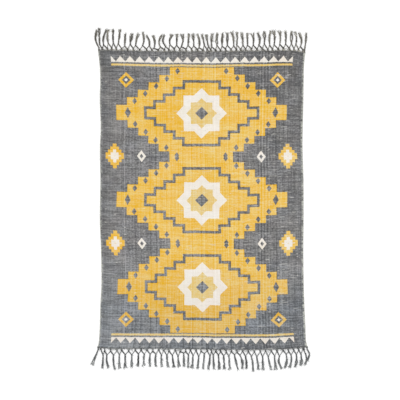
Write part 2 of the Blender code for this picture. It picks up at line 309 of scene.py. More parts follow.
@dataclass
class Outline:
    """The cloth's edge as it lies, and the way from a flat place on the loom to a point on the floor."""

    length: float = 1.300
    waist: float = 0.884
    end_steps: int = 24

    def __post_init__(self) -> None:
        """Works out the ends' short straight runs, which the fringes hang from."""
        stops = np.linspace(-1.0, 1.0, self.end_steps + 1)
        wander = [smooth_between(END_WANDER, stops, end.column) for end in (Edge.FAR, Edge.NEAR)]
        self.runs = np.stack([stops, *wander], axis=-1)

    def side_x(self, y: Array | float, side: Edge) -> Array:
        """The x of a side of the cloth at those places along the rug."""
        out = smooth_between(SIDE_WANDER, np.asarray(y) / (self.length / 2), side.column)
        return side.way * (self.waist / 2 + out * MM)

    def end_out(self, x: Array | float, end: Edge) -> Array:
        """How far an end of the cloth lies from the rug's middle at those places across."""
        across = np.clip(np.asarray(x) / (self.waist / 2), -1.0, 1.0)
        return self.length / 2 + straight_between(self.runs, across, end.column) * MM

    def lie(self, across: Array, along: Array) -> tuple[Array, Array]:
        """Where flat places of the cloth come to lie on the floor.

        Args:
            across: From -half to half the waist's width.
            along: From -half to half the cloth's length.

        Returns:
            The x and y of each.
        """
        u, v = across / self.waist + 0.5, along / self.length + 0.5
        x, y = across, along
        for _ in range(4):
            left, right = self.side_x(y, Edge.LEFT), self.side_x(y, Edge.RIGHT)
            near, far = -self.end_out(x, Edge.NEAR), self.end_out(x, Edge.FAR)
            x, y = left + (right - left) * u, near + (far - near) * v
        return x, y


@dataclass
class Shape:
    """Points, faces and the values that the finishes read at each point."""

    points: Array
    faces: list[Array]
    values: dict[str, Array]

    def piece(self, name: str, finish: bpy.types.Material, slot: str) -> bpy.types.Object:
        """Makes the piece and puts it on the rug.

        Args:
            name: The piece's name.
            finish: Its material.
            slot: The record's material slot that it belongs to; not used.

        Returns:
            The new object.
        """
        mesh = bpy.data.meshes.new(name)
        faces = [face for block in self.faces for face in block.tolist()]
        mesh.from_pydata(self.points.tolist(), [], faces)
        for label, value in self.values.items():
            kind, word = ("FLOAT_VECTOR", "vector") if value.ndim == 2 else ("FLOAT", "value")
            mesh.attributes.new(label, kind, "POINT").data.foreach_set(word, value.ravel())
        mesh.shade_smooth()
        mesh.materials.append(finish)
        piece = shown(name, mesh)
        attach(piece, "root")
        triangles = sum(len(block) * (block.shape[1] - 2) for block in self.faces)
        log.info("%s: %d triangles", name, triangles)
        return piece


@dataclass
class Strands:
    """Yarns of one number of points each, which become closed tubes."""

    paths: Array
    radii: Array
    tint: Array
    bare: Array
    axis: Triple = (0.0, 0.0, 1.0)
    """A way that no yarn runs along, which its sides are set by."""

    def shape(self, sides: int) -> Shape:
        """The yarns as tubes with closed ends.

        Args:
            sides: How many sides each tube has.

        Returns:
            The tubes, with the values that the yarn finishes read.
        """
        count, steps = self.radii.shape
        tangent = unit(np.gradient(self.paths, axis=1))
        sideways = unit(np.cross(tangent, self.axis))
        up = np.cross(sideways, tangent)
        angle = np.linspace(0.0, 2 * math.pi, sides, endpoint=False)
        cos, sin = np.cos(angle), np.sin(angle)
        ring = cos[:, None] * sideways[:, :, None] + sin[:, None] * up[:, :, None]
        points = self.paths[:, :, None] + ring * self.radii[:, :, None, None]
        points[..., 2] = np.maximum(points[..., 2], 0.0)
        number = np.arange(count * steps * sides).reshape(count, steps, sides)
        ahead = np.roll(number, -1, axis=2)
        quads = quads_between(number[:, :-1], number[:, 1:], ahead[:, 1:], ahead[:, :-1])
        caps = np.concatenate([number[:, 0], number[:, -1, ::-1]])
        run = np.linalg.norm(np.diff(self.paths, axis=1), axis=2)
        along = np.cumsum(np.pad(run, ((0, 0), (1, 0))), axis=1)
        place = np.stack(np.broadcast_arrays(along[:, :, None], cos, sin), axis=-1)
        values = {
            "yarn_place": place.reshape(-1, 3),
            "yarn_tint": np.repeat(self.tint, steps * sides),
            "yarn_bare": np.repeat(self.bare, sides),
        }
        return Shape(points.reshape(-1, 3), [quads, caps], values)


@dataclass(frozen=True)
class Amount:
    """A number that changes over a surface: arithmetic on it lays the nodes that work it out."""

    socket: Socket

    @property
    def board(self) -> "Board":
        """The node tree that it is in."""
        return Board(self.socket.id_data)

    def worked(self, operation: str, *others: "Amount | float", clamp: bool = False) -> "Amount":
        """The result of a Math node that starts from this amount."""
        return self.board.math(operation, self, *others, clamp=clamp)

    # The sum, difference, product and quotient
    __add__ = partialmethod(worked, "ADD")
    __sub__ = partialmethod(worked, "SUBTRACT")
    __mul__ = partialmethod(worked, "MULTIPLY")
    __truediv__ = partialmethod(worked, "DIVIDE")
    # Without its sign, and the whole number at or below it
    size = partialmethod(worked, "ABSOLUTE")
    floor = partialmethod(worked, "FLOOR")
    # The smaller and the larger of two
    least = partialmethod(worked, "MINIMUM")
    most = partialmethod(worked, "MAXIMUM")
    # 1 where it is less or more than the other, and 0 elsewhere
    below = partialmethod(worked, "LESS_THAN")
    above = partialmethod(worked, "GREATER_THAN")
    # Its sine
    wave = partialmethod(worked, "SINE")

    def taken_from(self, other: float) -> "Amount":
        """Another number less this amount."""
        return self.board.math("SUBTRACT", other, self)

    def without(self, other: "Amount") -> "Amount":
        """This mask less another."""
        return self * other.taken_from(1.0)

    def eased(self, low: float, high: float) -> "Amount":
        """0 at or under low, 1 at or over high, and smooth between."""
        taken = {"Value": self, "From Min": low, "From Max": high}
        return Amount(self.board.node("MapRange", taken, interpolation_type="SMOOTHSTEP").outputs["Result"])


@dataclass(frozen=True)
class Board:
    """A node tree to lay nodes in."""

    tree: bpy.types.NodeTree

    def node(self, kind: str, taken: dict[int | str, object], **settings: object) -> bpy.types.Node:
        """Lays a node.

        Args:
            kind: Its type, without the words that all of them start with.
            taken: What its inputs take, by their numbers or names.
            settings: Its other settings.

        Returns:
            The node.
        """
        made = self.tree.nodes.new(f"ShaderNode{kind}")
        for name, value in settings.items():
            setattr(made, name, value)
        self.feed(made, taken)
        return made

    def feed(self, node: bpy.types.Node, taken: dict[int | str, object]) -> None:
        """Links or sets a node's inputs.

        Args:
            node: The node.
            taken: What its inputs take, by their numbers or names: an amount, a socket, a colour or
                a number.
        """
        for name, value in taken.items():
            if isinstance(value, Amount | Socket):
                self.tree.links.new(getattr(value, "socket", value), node.inputs[name])
            else:
                node.inputs[name].default_value = (*value, 1.0) if isinstance(value, tuple) else value

    def dress(self, taken: dict[int | str, object]) -> None:
        """Links or sets the inputs of the material's own shader."""
        self.feed(self.tree.nodes["Principled BSDF"], taken)

    def use(self, group: bpy.types.NodeTree, *taken: Amount | Socket | float) -> list[Amount]:
        """The outputs of a node group whose first inputs take those, in order."""
        made = self.node("Group", dict(enumerate(taken)), node_tree=group)
        return [Amount(socket) for socket in made.outputs]

    def math(self, operation: str, *taken: Amount | float, clamp: bool = False) -> Amount:
        """The result of a Math node, held between 0 and 1 where clamp says so."""
        made = self.node("Math", dict(enumerate(taken)), operation=operation, use_clamp=clamp)
        return Amount(made.outputs[0])

    def attribute(self, name: str, output: str) -> Socket:
        """A value kept at the mesh's points, as that output of the node that reads it."""
        return self.node("Attribute", {}, attribute_name=name).outputs[output]

    def parts(self, vector: Socket) -> list[Amount]:
        """The three parts of a vector."""
        return [Amount(socket) for socket in self.node("SeparateXYZ", {0: vector}).outputs]

    def vector(self, *parts: Amount | float) -> Socket:
        """The vector of up to three parts."""
        return self.node("CombineXYZ", dict(enumerate(parts))).outputs[0]

    def noise(self, detail: float, *place: Amount | float, scale: float = 1.0) -> Amount:
        """Soft noise from 0 to 1, with one lump to a unit and that many finer layers."""
        taken = {"Vector": self.vector(*place), "Scale": scale, "Detail": detail}
        return Amount(self.node("TexNoise", taken).outputs[0])

    def dice(self, number: Amount, seed: float) -> Amount:
        """A steady random number from 0 to 1 for each value of that number."""
        taken = {"Vector": self.vector(number, seed)}
        return Amount(self.node("TexWhiteNoise", taken, noise_dimensions="2D").outputs["Value"])

    def mixed(self, share: Amount, under: Paint, over: Paint, way: str = "MIX") -> Socket:
        """A colour with that share of another laid over it."""
        taken = {0: share, 6: under, 7: over}
        return self.node("Mix", taken, data_type="RGBA", blend_type=way).outputs[2]

    def shaded(self, colour: Socket, light: Amount) -> Socket:
        """A colour with each of its parts multiplied by the light."""
        return self.node("VectorMath", {0: colour, "Scale": light}, operation="SCALE").outputs[0]

    def bump(self, height: Amount, distance: float, strength: float) -> Socket:
        """The normal of a relief from 0 to 1, where 1 stands that far over 0, in metres."""
        taken = {"Height": height, "Distance": distance, "Strength": strength}
        return self.node("Bump", taken).outputs[0]


def new_finish(name: str) -> tuple[bpy.types.Material, Board]:
    """Starts a material.

    Args:
        name: Its name.

    Returns:
        The material, and its nodes.
    """
    finish = bpy.data.materials.new(name)
    finish.use_nodes = True
    return finish, Board(finish.node_tree)


class EffectGroup:
    """A shader node group being made, with named inputs and outputs."""

    def __init__(self, name: str, inputs: dict[str, float | None]) -> None:
        """Starts the group.

        Args:
            name: The group's name.
            inputs: Each input's starting value, or None for a vector.
        """
        self.group = bpy.data.node_groups.new(name, "ShaderNodeTree")
        self.board = Board(self.group)
        for label, start in inputs.items():
            kind = "NodeSocketVector" if start is None else "NodeSocketFloat"
            made = self.group.interface.new_socket(label, in_out="INPUT", socket_type=kind)
            if start is not None:
                made.default_value = start
        sockets = self.group.nodes.new("NodeGroupInput").outputs
        self.taken = [Amount(sockets[label]) for label in inputs]

    def giving(self, outputs: dict[str, Amount]) -> bpy.types.NodeTree:
        """Ends the group.

        Args:
            outputs: What it puts out under each name, all plain numbers.

        Returns:
            The group.
        """
        for label in outputs:
            self.group.interface.new_socket(label, in_out="OUTPUT", socket_type="NodeSocketFloat")
        self.board.feed(self.group.nodes.new("NodeGroupOutput"), outputs)
        return self.group


class Effects:
    """The effects that several finishes use, each built once, when it is first asked for."""

    @cached_property
    def steps(self) -> bpy.types.NodeTree:
        """A stepped lozenge about the origin of its X and Y, which are both 0 or more.

        Returns:
            The group, whose Mask is 1 inside the lozenge.
        """
        sizes = {"Half Width": 0.1, "Step Width": 0.02, "Step Height": 0.02, "Steps": 5.0}
        made = EffectGroup("stepped_shape", {"X": 0.0, "Y": 0.0, **sizes})
        x, y, half, width, height, steps = made.taken
        row = (y / height).floor()
        return made.giving({"Mask": x.below(half - row * width) * row.below(steps)})

    @cached_property
    def weave(self) -> bpy.types.NodeTree:
        """A plain weave, one warp thread over and under one weft thread.

        Returns:
            The group: Height is the relief from 0 to 1, Warp Up is 1 where the warp lies on top, and
            Warp and Weft are the threads' numbers.
        """
        start = {"Across": 0.0, "Along": 0.0, "Warp Pitch": 0.00275, "Weft Pitch": 0.0024}
        made = EffectGroup("plain_weave", start)
        across, along = made.taken[0] / made.taken[2], made.taken[1] / made.taken[3]
        warp, weft = across.floor(), along.floor()
        over_warp = ((across - warp) * math.pi).wave().most(0.0)
        over_weft = ((along - weft) * math.pi).wave().most(0.0)
        warp_up = (warp + weft).worked("FLOORED_MODULO", 2.0).above(0.5)
        warp_height = over_warp.worked("POWER", 0.6) * (over_weft * 0.5 + 0.5)
        weft_height = over_weft.worked("POWER", 0.6) * (over_warp * 0.5 + 0.5)
        height = weft_height + (warp_height - weft_height) * warp_up
        return made.giving({"Height": height, "Warp Up": warp_up, "Warp": warp, "Weft": weft})

    @cached_property
    def streaks(self) -> bpy.types.NodeTree:
        """How hand-spun threads vary along their length and from one to the next.

        Returns:
            The group. Warp Streak, Weft Streak, Mottle, Cloud and Grain swing about 0: streaks down and
            across the cloth, patches of a finger's and of a hand's width, and single fibres. Slub is 1
            on a thick pale stretch of weft, and Nep on a small white knot of fibres.
        """
        made = EffectGroup("thread_streaks", dict.fromkeys(("Across", "Along", "Warp", "Weft"), 0.0))
        board = made.board
        across, along, warp, weft = made.taken
        place = (across, along * 1.25, 0.4)
        down = board.noise(4.0, warp * 0.60, along * 8.0, 3.1) - 0.5
        lasting = board.noise(2.0, warp * 0.42, along * 0.15, 12.0) - 0.5
        long = board.noise(4.0, across * 9.0, weft * 0.52, 7.7) - 0.5
        short = board.noise(2.0, across * 48.0, weft * 0.71, 4.4) - 0.5
        broad = board.noise(1.0, *place, scale=4.5) - 0.5
        lumps = board.noise(1.0, across * 30.0, weft * 0.55, 1.3)
        at = {"Vector": board.vector(across * 24.0, along * 78.0, 0.5), "Scale": 1.0}
        knots = board.node("TexVoronoi", at, voronoi_dimensions="2D").outputs
        rare = board.parts(knots["Color"])[0].above(0.972)
        outputs = {
            "Warp Streak": down * 0.7 + lasting * 2.0 + (board.dice(warp, 2.0) - 0.5) * 0.16,
            "Weft Streak": long * 1.2 + short * 0.8,
            "Mottle": board.noise(3.0, *place, scale=135.0) - 0.5,
            "Cloud": board.noise(3.0, *place, scale=17.0) - 0.5 + broad * 0.6,
            "Grain": board.noise(2.0, *place, scale=640.0) - 0.5,
            "Slub": lumps.eased(0.66, 0.75),
            "Nep": Amount(knots["Distance"]).eased(0.14, 0.05) * rare,
        }
        return made.giving(outputs)

    @cached_property
    def twist(self) -> bpy.types.NodeTree:
        """The twist of a plied yarn and its fibres.

        Returns:
            The group: Height is the relief from 0 to 1 and Fibre swings about 0 from hair to hair.
        """
        made = EffectGroup("yarn_twist", {"Place": None, "Pitch": 0.007, "Plies": 3.0})
        place, pitch, plies = made.taken
        along, cos, sin = made.board.parts(place.socket)
        phase = sin.worked("ARCTAN2", cos) * plies + along / pitch * (2 * math.pi)
        ply = phase.wave() * 0.5 + 0.5
        fibre = made.board.noise(3.0, along * 260.0, cos * 2.2, sin * 2.2)
        return made.giving({"Height": ply * 0.75 + fibre * 0.25, "Fibre": fibre - 0.5})


@dataclass(frozen=True)
class Swings:
    """How unevenly the cloth takes up dye at a place."""

    parts: tuple[Amount, ...]
    """The warp, weft, mottle, cloud, grain, fade and tilt, each swinging about 0. The fade runs over the
    whole rug, and the tilt is paler towards the right and deeper at the far end."""
    nearness: Amount
    """From 0 over most of the rug to 1 at its near end."""


@dataclass(frozen=True)
class Dye:
    """One colour, which swings between two as the threads take it up unevenly."""

    deep: Colour
    pale: Colour
    shares: tuple[float, ...]
    """How much each part of the swings shows in it."""
    near: Colour = (0.945, 0.945, 0.955)
    """What it is multiplied by at the rug's near end."""
    curve: float = 1.4
    """Evens out the steps from deep to pale."""
    middle: float = 0.5
    """How far from deep to pale it is where nothing swings."""

    def laid(self, swings: Swings) -> Socket:
        """The colour over the cloth.

        Args:
            swings: How unevenly the cloth takes it up.

        Returns:
            The colour.
        """
        board = swings.nearness.board
        share = swings.parts[0] * self.shares[0] + self.middle
        for part, weight in zip(swings.parts[1:], self.shares[1:]):
            share = share + part * weight
        share = share.worked("ADD", 0.0, clamp=True).worked("POWER", self.curve)
        colour = board.mixed(share, self.deep, self.pale)
        return board.mixed(swings.nearness, colour, self.near, "MULTIPLY")


class Ink(Enum):
    """The print's colours, the one where two of them overlap, and the bare cotton underneath."""

    CHARCOAL = Dye(
        *(srgb(81, 82, 83), srgb(159, 160, 161), (0.80, 1.0, 1.4, 0.52, 0.96, 0.80, 0.0)),
        near=(0.970, 1.032, 1.09),
        curve=1.7,
        middle=0.6,
    )
    OCHRE = Dye(
        *(srgb(231, 179, 38), srgb(237, 213, 143), (0.9, 1.2, 1.05, 0.65, 0.4, 0.35, 0.28)),
        near=(0.89, 0.88, 0.97),
    )
    STRAW = Dye(srgb(226, 191, 99), srgb(231, 219, 175), (0.8, 0.9, 1.0, 0.5, 0.6, 0.6, 0.0))
    CREAM = Dye(srgb(233, 228, 216), srgb(245, 242, 235), (0.6, 0.9, 0.2, 1.1, 0.0, 0.3, 0.0))
    OVERLAP = Dye(srgb(96, 82, 38), srgb(138, 119, 62), (0.8, 1.0, 1.2, 0.5, 0.5, 0.5, 0.0))
    BARE = Dye(srgb(196, 186, 160), srgb(228, 221, 202), (0.9, 0.9, 0.6, 0.6, 0.5, 0.0, 0.0))


Rings = tuple[tuple[Ink, float], ...]


@dataclass(frozen=True)
class PrintLayout:
    """The print: three stepped medallions on a plain ground, with small figures round them.

    All sizes are in metres on the flat cloth. x and y below are without their signs, because the print
    is the same in its four quarters. Rings are inks and where they start, from the outside in. A stepped
    figure is half its width, a step's width and height, and the number of steps. A plain one is where it
    lies, and half its width and height.
    """

    medallion_pitch: float = 0.380
    medallion: tuple[float, ...] = (0.372, 0.0465, 0.0335, 6)
    band: tuple[float, ...] = (0.252, 0.0420, 0.0290, 5)
    band_width: float = 0.012
    band_margin: float = 0.008
    overlap: float = 0.0008
    """How far the charcoal runs over the ochre's edges."""
    dot: Pair = (0.0105, 0.0145)
    first_dot: Triple = (0.322, 0.013, 0.024)
    star: Rings = ((Ink.CREAM, 0.078), (Ink.STRAW, 0.047))
    core: float = 0.028
    side_figure: tuple[float, ...] = (0.040, 0.0105, 0.0135, 4)
    side_figure_at: float = 0.378
    side_rings: Rings = ((Ink.OCHRE, 0.0), (Ink.CREAM, 0.012), (Ink.STRAW, 0.026))
    lozenge: Triple = (0.262, 0.020, 0.026)
    lozenge_rings: Rings = ((Ink.CREAM, 1.0), (Ink.CHARCOAL, 0.42))
    corner: Triple = (0.330, 0.522, 0.034)
    corner_rings: Rings = ((Ink.OCHRE, 1.0), (Ink.CHARCOAL, 0.55), (Ink.CREAM, 0.22))
    tooth_pitch: float = 0.0412
    tooth_height: float = 0.0245
    tooth_line: float = 0.600
    tooth_base: float = 0.002
    bar_line: float = 0.5885
    bar_half: float = 0.0042
    teeth: float = 9.5

    def figures(self, effects: Effects, x: Amount, y: Amount) -> list[tuple[Ink, Amount]]:
        """The figures of the print, in the order in which they are printed.

        Args:
            effects: The shared groups.
            x: The place across.
            y: The place along.

        Returns:
            The ink of each, and the mask of where it lies.
        """

        def stepped(at_x: Amount, at_y: Amount, sizes: tuple[float, ...], inset: float) -> Amount:
            """A stepped lozenge of those sizes, less the inset."""
            return x.board.use(effects.steps, at_x + inset, at_y + inset, *sizes)[0]

        centre = y.least((y - self.medallion_pitch).size())
        field, inner_field = (stepped(x, centre, self.medallion, inset) for inset in (0.0, self.overlap))
        insets = (0.0, self.overlap, self.band_width - self.overlap, self.band_width)
        outer, outer_less, inner_more, inner = (stepped(x, centre, self.band, inset) for inset in insets)
        margin = [(place - self.band_margin).most(0.0) for place in (x, centre)]
        across_star = x.most(centre).least((x + centre) * math.sqrt(0.5))
        overlap = field.without(inner_field).most(outer.without(outer_less))
        overlap = overlap.most(inner_more.without(inner))
        dots = (self.dots(x, centre) * field).without(stepped(*margin, self.band, 0.0))
        waist = (y - self.medallion_pitch / 2).size()
        from_side = (x - self.side_figure_at).size()
        at, wide, tall = self.lozenge
        lozenge = (x - at).size() / wide + waist / tall
        at_x, at_y, reach = self.corner
        corner = ((x - at_x).size() + (y - at_y).size()) / reach
        short = x.below(self.tooth_pitch * self.teeth)
        tooth = x / self.tooth_pitch
        slope = ((tooth - tooth.floor() - 0.5).size() * 2.0).taken_from(1.0)
        rise = y - self.tooth_line
        teeth = rise.above(0.0) * rise.below(slope * self.tooth_height + self.tooth_base) * short
        return [
            *((Ink.OCHRE, field), (Ink.CHARCOAL, outer.without(inner))),
            *((Ink.OVERLAP, overlap), (Ink.CHARCOAL, dots)),
            *((ink, across_star.below(reach)) for ink, reach in self.star),
            (Ink.CHARCOAL, (x + centre).below(self.core)),
            *((ink, stepped(from_side, waist, self.side_figure, inset)) for ink, inset in self.side_rings),
            *((ink, lozenge.below(share)) for ink, share in self.lozenge_rings),
            *((ink, corner.below(share)) for ink, share in self.corner_rings),
            (Ink.CREAM, teeth),
            (Ink.STRAW, (y - self.bar_line).size().below(self.bar_half) * short),
        ]

    def dots(self, x: Amount, centre: Amount) -> Amount:
        """The small lozenges, one in each step of the medallion.

        Args:
            x: The place across.
            centre: How far along from the medallion's middle.

        Returns:
            Their mask.
        """
        half, width, height, _ = self.medallion
        row = (centre / height).floor()
        at_x = (row * width).taken_from(half - 0.72 * width)
        at_y = (row + 0.5) * height
        small = ((x - at_x).size() / self.dot[0] + (centre - at_y).size() / self.dot[1]).below(1.0)
        at, wide, tall = self.first_dot
        first = ((x - at).size() / wide + centre / tall).below(1.0)
        return (small * row.above(0.5)).most(first)


@dataclass(frozen=True)
class PrintedCotton:
    """The cloth's finish: plain-woven slubby cotton, hand-printed on top and bare underneath."""

    layout: PrintLayout = PrintLayout()
    half_waist: float = 0.442
    half_length: float = 0.650
    ragged_along: float = 0.0016
    ragged_across: float = 0.0007
    drift_along: float = 0.005
    drift_across: float = 0.006
    natural: Colour = srgb(203, 205, 195)
    slub: Colour = srgb(213, 211, 205)
    fleck: Colour = srgb(70, 68, 66)
    nep: Colour = srgb(236, 232, 222)
    # Colour of the painted shadow laid in patches along the woven sides
    tuck_shadow: Colour = srgb(62, 62, 61)
    # Colour of the painted shadow, with some deeper dye, laid in dashes at the ends where the warp ends
    # gather
    pinch_shadow_and_dye: Colour = srgb(62, 62, 63)
    casts: tuple[tuple[float, float, Colour], ...] = (
        (21.0, 12.0, (1.01, 0.975, 0.935)),
        (33.0, 16.0, (1.0, 0.98, 1.0)),
    )
    """Patches a little warmer and a little redder than the rest: their seed, how small they are, and by
    what they multiply the print."""

    def build(self, effects: Effects) -> bpy.types.Material:
        """Makes the material.

        Args:
            effects: The shared groups.

        Returns:
            The material.
        """
        finish, board = new_finish("printed_cotton")
        across, along, upper = board.parts(board.attribute("cloth_place", "Vector"))
        height, _, warp, weft = board.use(effects.weave, across, along)
        down, over, mottle, cloud, grain, slub, nep = board.use(effects.streaks, across, along, warp, weft)
        from_side = across.size().taken_from(self.half_waist)
        from_end = along.size().taken_from(self.half_length)
        nearness = (along * -1.0).eased(0.19, 0.54)
        fade = self.fade(across, along, from_side, from_end * (nearness * 2.0 + 1.0))
        margin = from_side.eased(0.110, 0.065) * (across * -0.5 + 0.5)
        down = down * (margin * -1.05 + 1.12)
        mottle = mottle * (margin * -0.6 + 1.0)
        tilt = across - along.eased(0.26, 0.56) * 0.2
        swings = Swings((down, over, mottle, cloud, grain, fade, tilt), nearness)
        inks = {ink: ink.value.laid(swings) for ink in Ink}
        printed = self.printed(effects, (across, along, warp, weft), inks)
        for depth, scale, cast in self.casts:
            patches = board.noise(2.0, across, along, depth, scale=scale)
            printed = board.mixed(patches.eased(0.30, 0.70), printed, cast, "MULTIPLY")
        spots = board.noise(0.0, across * 210.0, along * 260.0, 9.0)
        thick = slub * (across * 0.42 + 0.44) * (from_side.eased(0.045, 0.020) * -0.8 + 1.0)
        turns = board.noise(1.0, across * 35.0, along * 125.0, 2.5)
        # Painted shadow: near-black patches in the last 13 mm or so of the woven sides
        tuck_shadow_mask = from_side.eased(0.0130, 0.0040) * turns.eased(0.44, 0.30)
        rim = (from_side + over * 0.012).eased(0.0095, 0.0015) * (across * 0.45 + 0.70)
        worn_side = (from_side + mottle * 0.006).eased(0.0040, 0.0004) * 0.55
        worn_end = (from_end + mottle * 0.004).eased(0.0028, 0.0004) * (nearness * -0.30 + 0.38)
        worn = worn_side.most(rim * turns.eased(0.36, 0.62)).most(worn_end)
        gathers = board.noise(1.0, across * 75.0, along * 30.0, 2.0)
        # Painted shadow with some deeper dye: dark dashes within about 7 mm of the ends, where the warp ends
        # gather
        pinch_shadow_and_dye_mask = gathers.eased(0.47, 0.60) * from_end.eased(0.0070, 0.0022)
        layers = (
            (thick, self.slub),
            (spots.eased(0.72, 0.80) * (across * 0.30 + 0.25), self.fleck),
            (nep * 0.6, self.nep),
            (tuck_shadow_mask * 0.35, self.tuck_shadow),
            (worn, self.natural),
            (pinch_shadow_and_dye_mask * 0.55, self.pinch_shadow_and_dye),
            (upper.below(0.5) * 0.86, inks[Ink.BARE]),
        )
        for share, colour in layers:
            printed = board.mixed(share, printed, colour)
        relief = height + grain * 0.35 + slub * 0.35 + nep * 0.8 + down * 0.20
        # The base colour is darkened by up to 9% where the weave's relief is low: painted shade in the
        # hollows between the threads
        look = {
            "Base Color": board.shaded(printed, height.eased(0.0, 0.75) * 0.09 + 0.91),
            "Roughness": 0.95,
            "Specular IOR Level": 0.15,
            "Sheen Weight": 0.05,
            "Sheen Roughness": 0.6,
            "Normal": board.bump(relief, 0.00050, 0.5),
        }
        board.dress(look)
        return finish

    @staticmethod
    def fade(across: Amount, along: Amount, from_side: Amount, from_end: Amount) -> Amount:
        """How the dye's depth changes over the whole rug, along its edges and at its near right corner.

        Args:
            across: The place across.
            along: The place along.
            from_side: How far the nearer woven side is.
            from_end: How far the nearer end is.

        Returns:
            The change, above 0 where it is paler.
        """
        far = along.eased(0.26, 0.56) * (across.eased(0.06, 0.22) * -0.17 - 0.05)
        near = (along * -1.0).eased(0.28, 0.46) * (across.eased(-0.16, -0.36) * 0.14 - 0.03)
        sides = from_side.eased(0.048, 0.022) * (across * 0.08 - 0.10)
        last = from_end.eased(0.018, 0.006) * -0.12
        corner = (along * -1.0).eased(0.575, 0.625) * across.eased(0.06, 0.14) * -0.12
        return far + near + sides + last + corner - across * 0.07 + 0.03

    def printed(self, effects: Effects, place: tuple[Amount, ...], inks: dict[Ink, Socket]) -> Socket:
        """The print's colours, with edges that run a little along the threads.

        Args:
            effects: The shared groups.
            place: The place across and along, and the numbers of the warp and weft thread there.
            inks: The colour of each ink over the cloth.

        Returns:
            The colour.
        """
        across, along, warp, weft = place
        board = across.board
        drift = board.noise(1.0, across, along, 5.0, scale=9.0) - 0.5
        ran_across = across + (board.dice(weft, 11.0) - 0.5) * self.ragged_across
        ran_across = ran_across + drift * self.drift_across
        ran_along = along + (board.dice(warp, 17.0) - 0.5) * self.ragged_along
        ran_along = ran_along + drift * self.drift_along
        colour = inks[Ink.CHARCOAL]
        for ink, mask in self.layout.figures(effects, ran_across.size(), ran_along.size()):
            colour = board.mixed(mask, colour, inks[ink])
        return colour


@dataclass(frozen=True)
class YarnFinish:
    """Plied cotton yarn: dyed, and bare where its strands say so."""

    name: str
    dyed: Colour
    bare: Colour
    pitch: float
    plies: float = 3.0
    swing: float = 0.30
    """How much lighter or darker one strand is than the next."""

    def build(self, effects: Effects) -> bpy.types.Material:
        """Makes the material.

        Args:
            effects: The shared groups.

        Returns:
            The material.
        """
        finish, board = new_finish(self.name)
        tint, bare = (Amount(board.attribute(name, "Fac")) for name in ("yarn_tint", "yarn_bare"))
        place = board.attribute("yarn_place", "Vector")
        height, fibre = board.use(effects.twist, place, self.pitch, self.plies)
        flecked = (bare + fibre * 0.55).worked("ADD", 0.0, clamp=True)
        # The light darkens the colour in the grooves between the plies, which is painted shade, and gives
        # each strand its own tone and the fibres their flecks
        light = tint * self.swing + height * 0.35 + fibre * 0.25 + 0.80
        look = {
            "Base Color": board.shaded(board.mixed(flecked, self.dyed, self.bare), light),
            "Roughness": 0.95,
            "Specular IOR Level": 0.2,
            "Sheen Weight": 0.15,
            "Sheen Roughness": 0.6,
            "Normal": board.bump(height, 0.00035, 0.9),
        }
        board.dress(look)
        return finish


@dataclass
class Cloth:
    """The woven cloth, as one closed sheet with softly rounded edges and a slight unevenness."""

    outline: Outline
    thickness: float = 0.004
    cell: float = 0.0061
    edge_radius: float = 0.0019
    edge_stops: tuple[float, ...] = (0.0, 0.00035, 0.0010, 0.0020, 0.0042)
    ripple: float = 0.00016
    ripple_lengths: tuple[float, ...] = (0.31, 0.19, 0.12, 0.075, 0.050)
    pucker: float = 0.00030
    pucker_pitch: float = 0.022
    pucker_depth: float = 0.016
    seed: int = 41

    def stops(self, span: float) -> Array:
        """Where the rows of the mesh lie over a span, closer together at its edges.

        Args:
            span: The span, centred on 0.

        Returns:
            The places of the rows.
        """
        edge = np.array(self.edge_stops)
        inner = span - 2 * edge[-1]
        middle = np.linspace(-inner / 2, inner / 2, round(inner / self.cell) + 1)
        return np.concatenate([edge[:-1] - span / 2, middle, span / 2 - edge[-2::-1]])

    def relief(self, across: Array, along: Array) -> Array:
        """How far the upper side stands over or under its thickness.

        Args:
            across: Flat places across.
            along: Flat places along.

        Returns:
            The height in metres.
        """
        chance = random.Random(self.seed)
        total = np.zeros(across.shape)
        for wavelength in np.repeat(self.ripple_lengths, 2):
            angle = chance.uniform(0.15, 1.4)
            phase = chance.uniform(0.0, 2 * math.pi)
            run = across * math.cos(angle) + along * math.sin(angle)
            total += np.sin(run * 2 * math.pi / wavelength + phase) * self.ripple
        from_end = self.outline.length / 2 - np.abs(along)
        drawn = np.exp(-from_end / self.pucker_depth) * np.cos(across * 2 * math.pi / self.pucker_pitch)
        return total + drawn * self.pucker

    def shape(self) -> Shape:
        """The cloth's mesh, its underside flat on the floor.

        Returns:
            The mesh, with each point's flat place and which side of the cloth it is on.
        """
        waist, length = self.outline.waist, self.outline.length
        flat_x, flat_y = np.meshgrid(self.stops(waist), self.stops(length), indexing="ij")
        x, y = self.outline.lie(flat_x, flat_y)
        inside = np.minimum(waist / 2 - np.abs(flat_x), length / 2 - np.abs(flat_y))
        drop = self.edge_radius - np.minimum(inside, self.edge_radius)
        bulge = np.sqrt(np.maximum(self.edge_radius**2 - drop**2, 0.0))
        relief = self.relief(flat_x, flat_y) * (bulge / self.edge_radius)
        crest = self.thickness - self.edge_radius + bulge + relief
        levels = [np.stack([x, y, z], axis=-1).reshape(-1, 3) for z in (crest, self.edge_radius - bulge)]
        number = np.arange(x.size).reshape(x.shape)
        top = quads_between(number[:-1, :-1], number[1:, :-1], number[1:, 1:], number[:-1, 1:])
        rim = np.concatenate([number[:-1, 0], number[-1, :-1], number[:0:-1, -1], number[0, :0:-1]])
        ahead = np.roll(rim, -1)
        wall = quads_between(rim + x.size, ahead + x.size, ahead, rim)
        flat = np.stack([flat_x, flat_y, np.ones(x.shape)], axis=-1).reshape(-1, 3)
        values = {"cloth_place": np.concatenate([flat, flat * (1, 1, 0)])}
        return Shape(np.concatenate(levels), [top, top[:, ::-1] + x.size, wall], values)


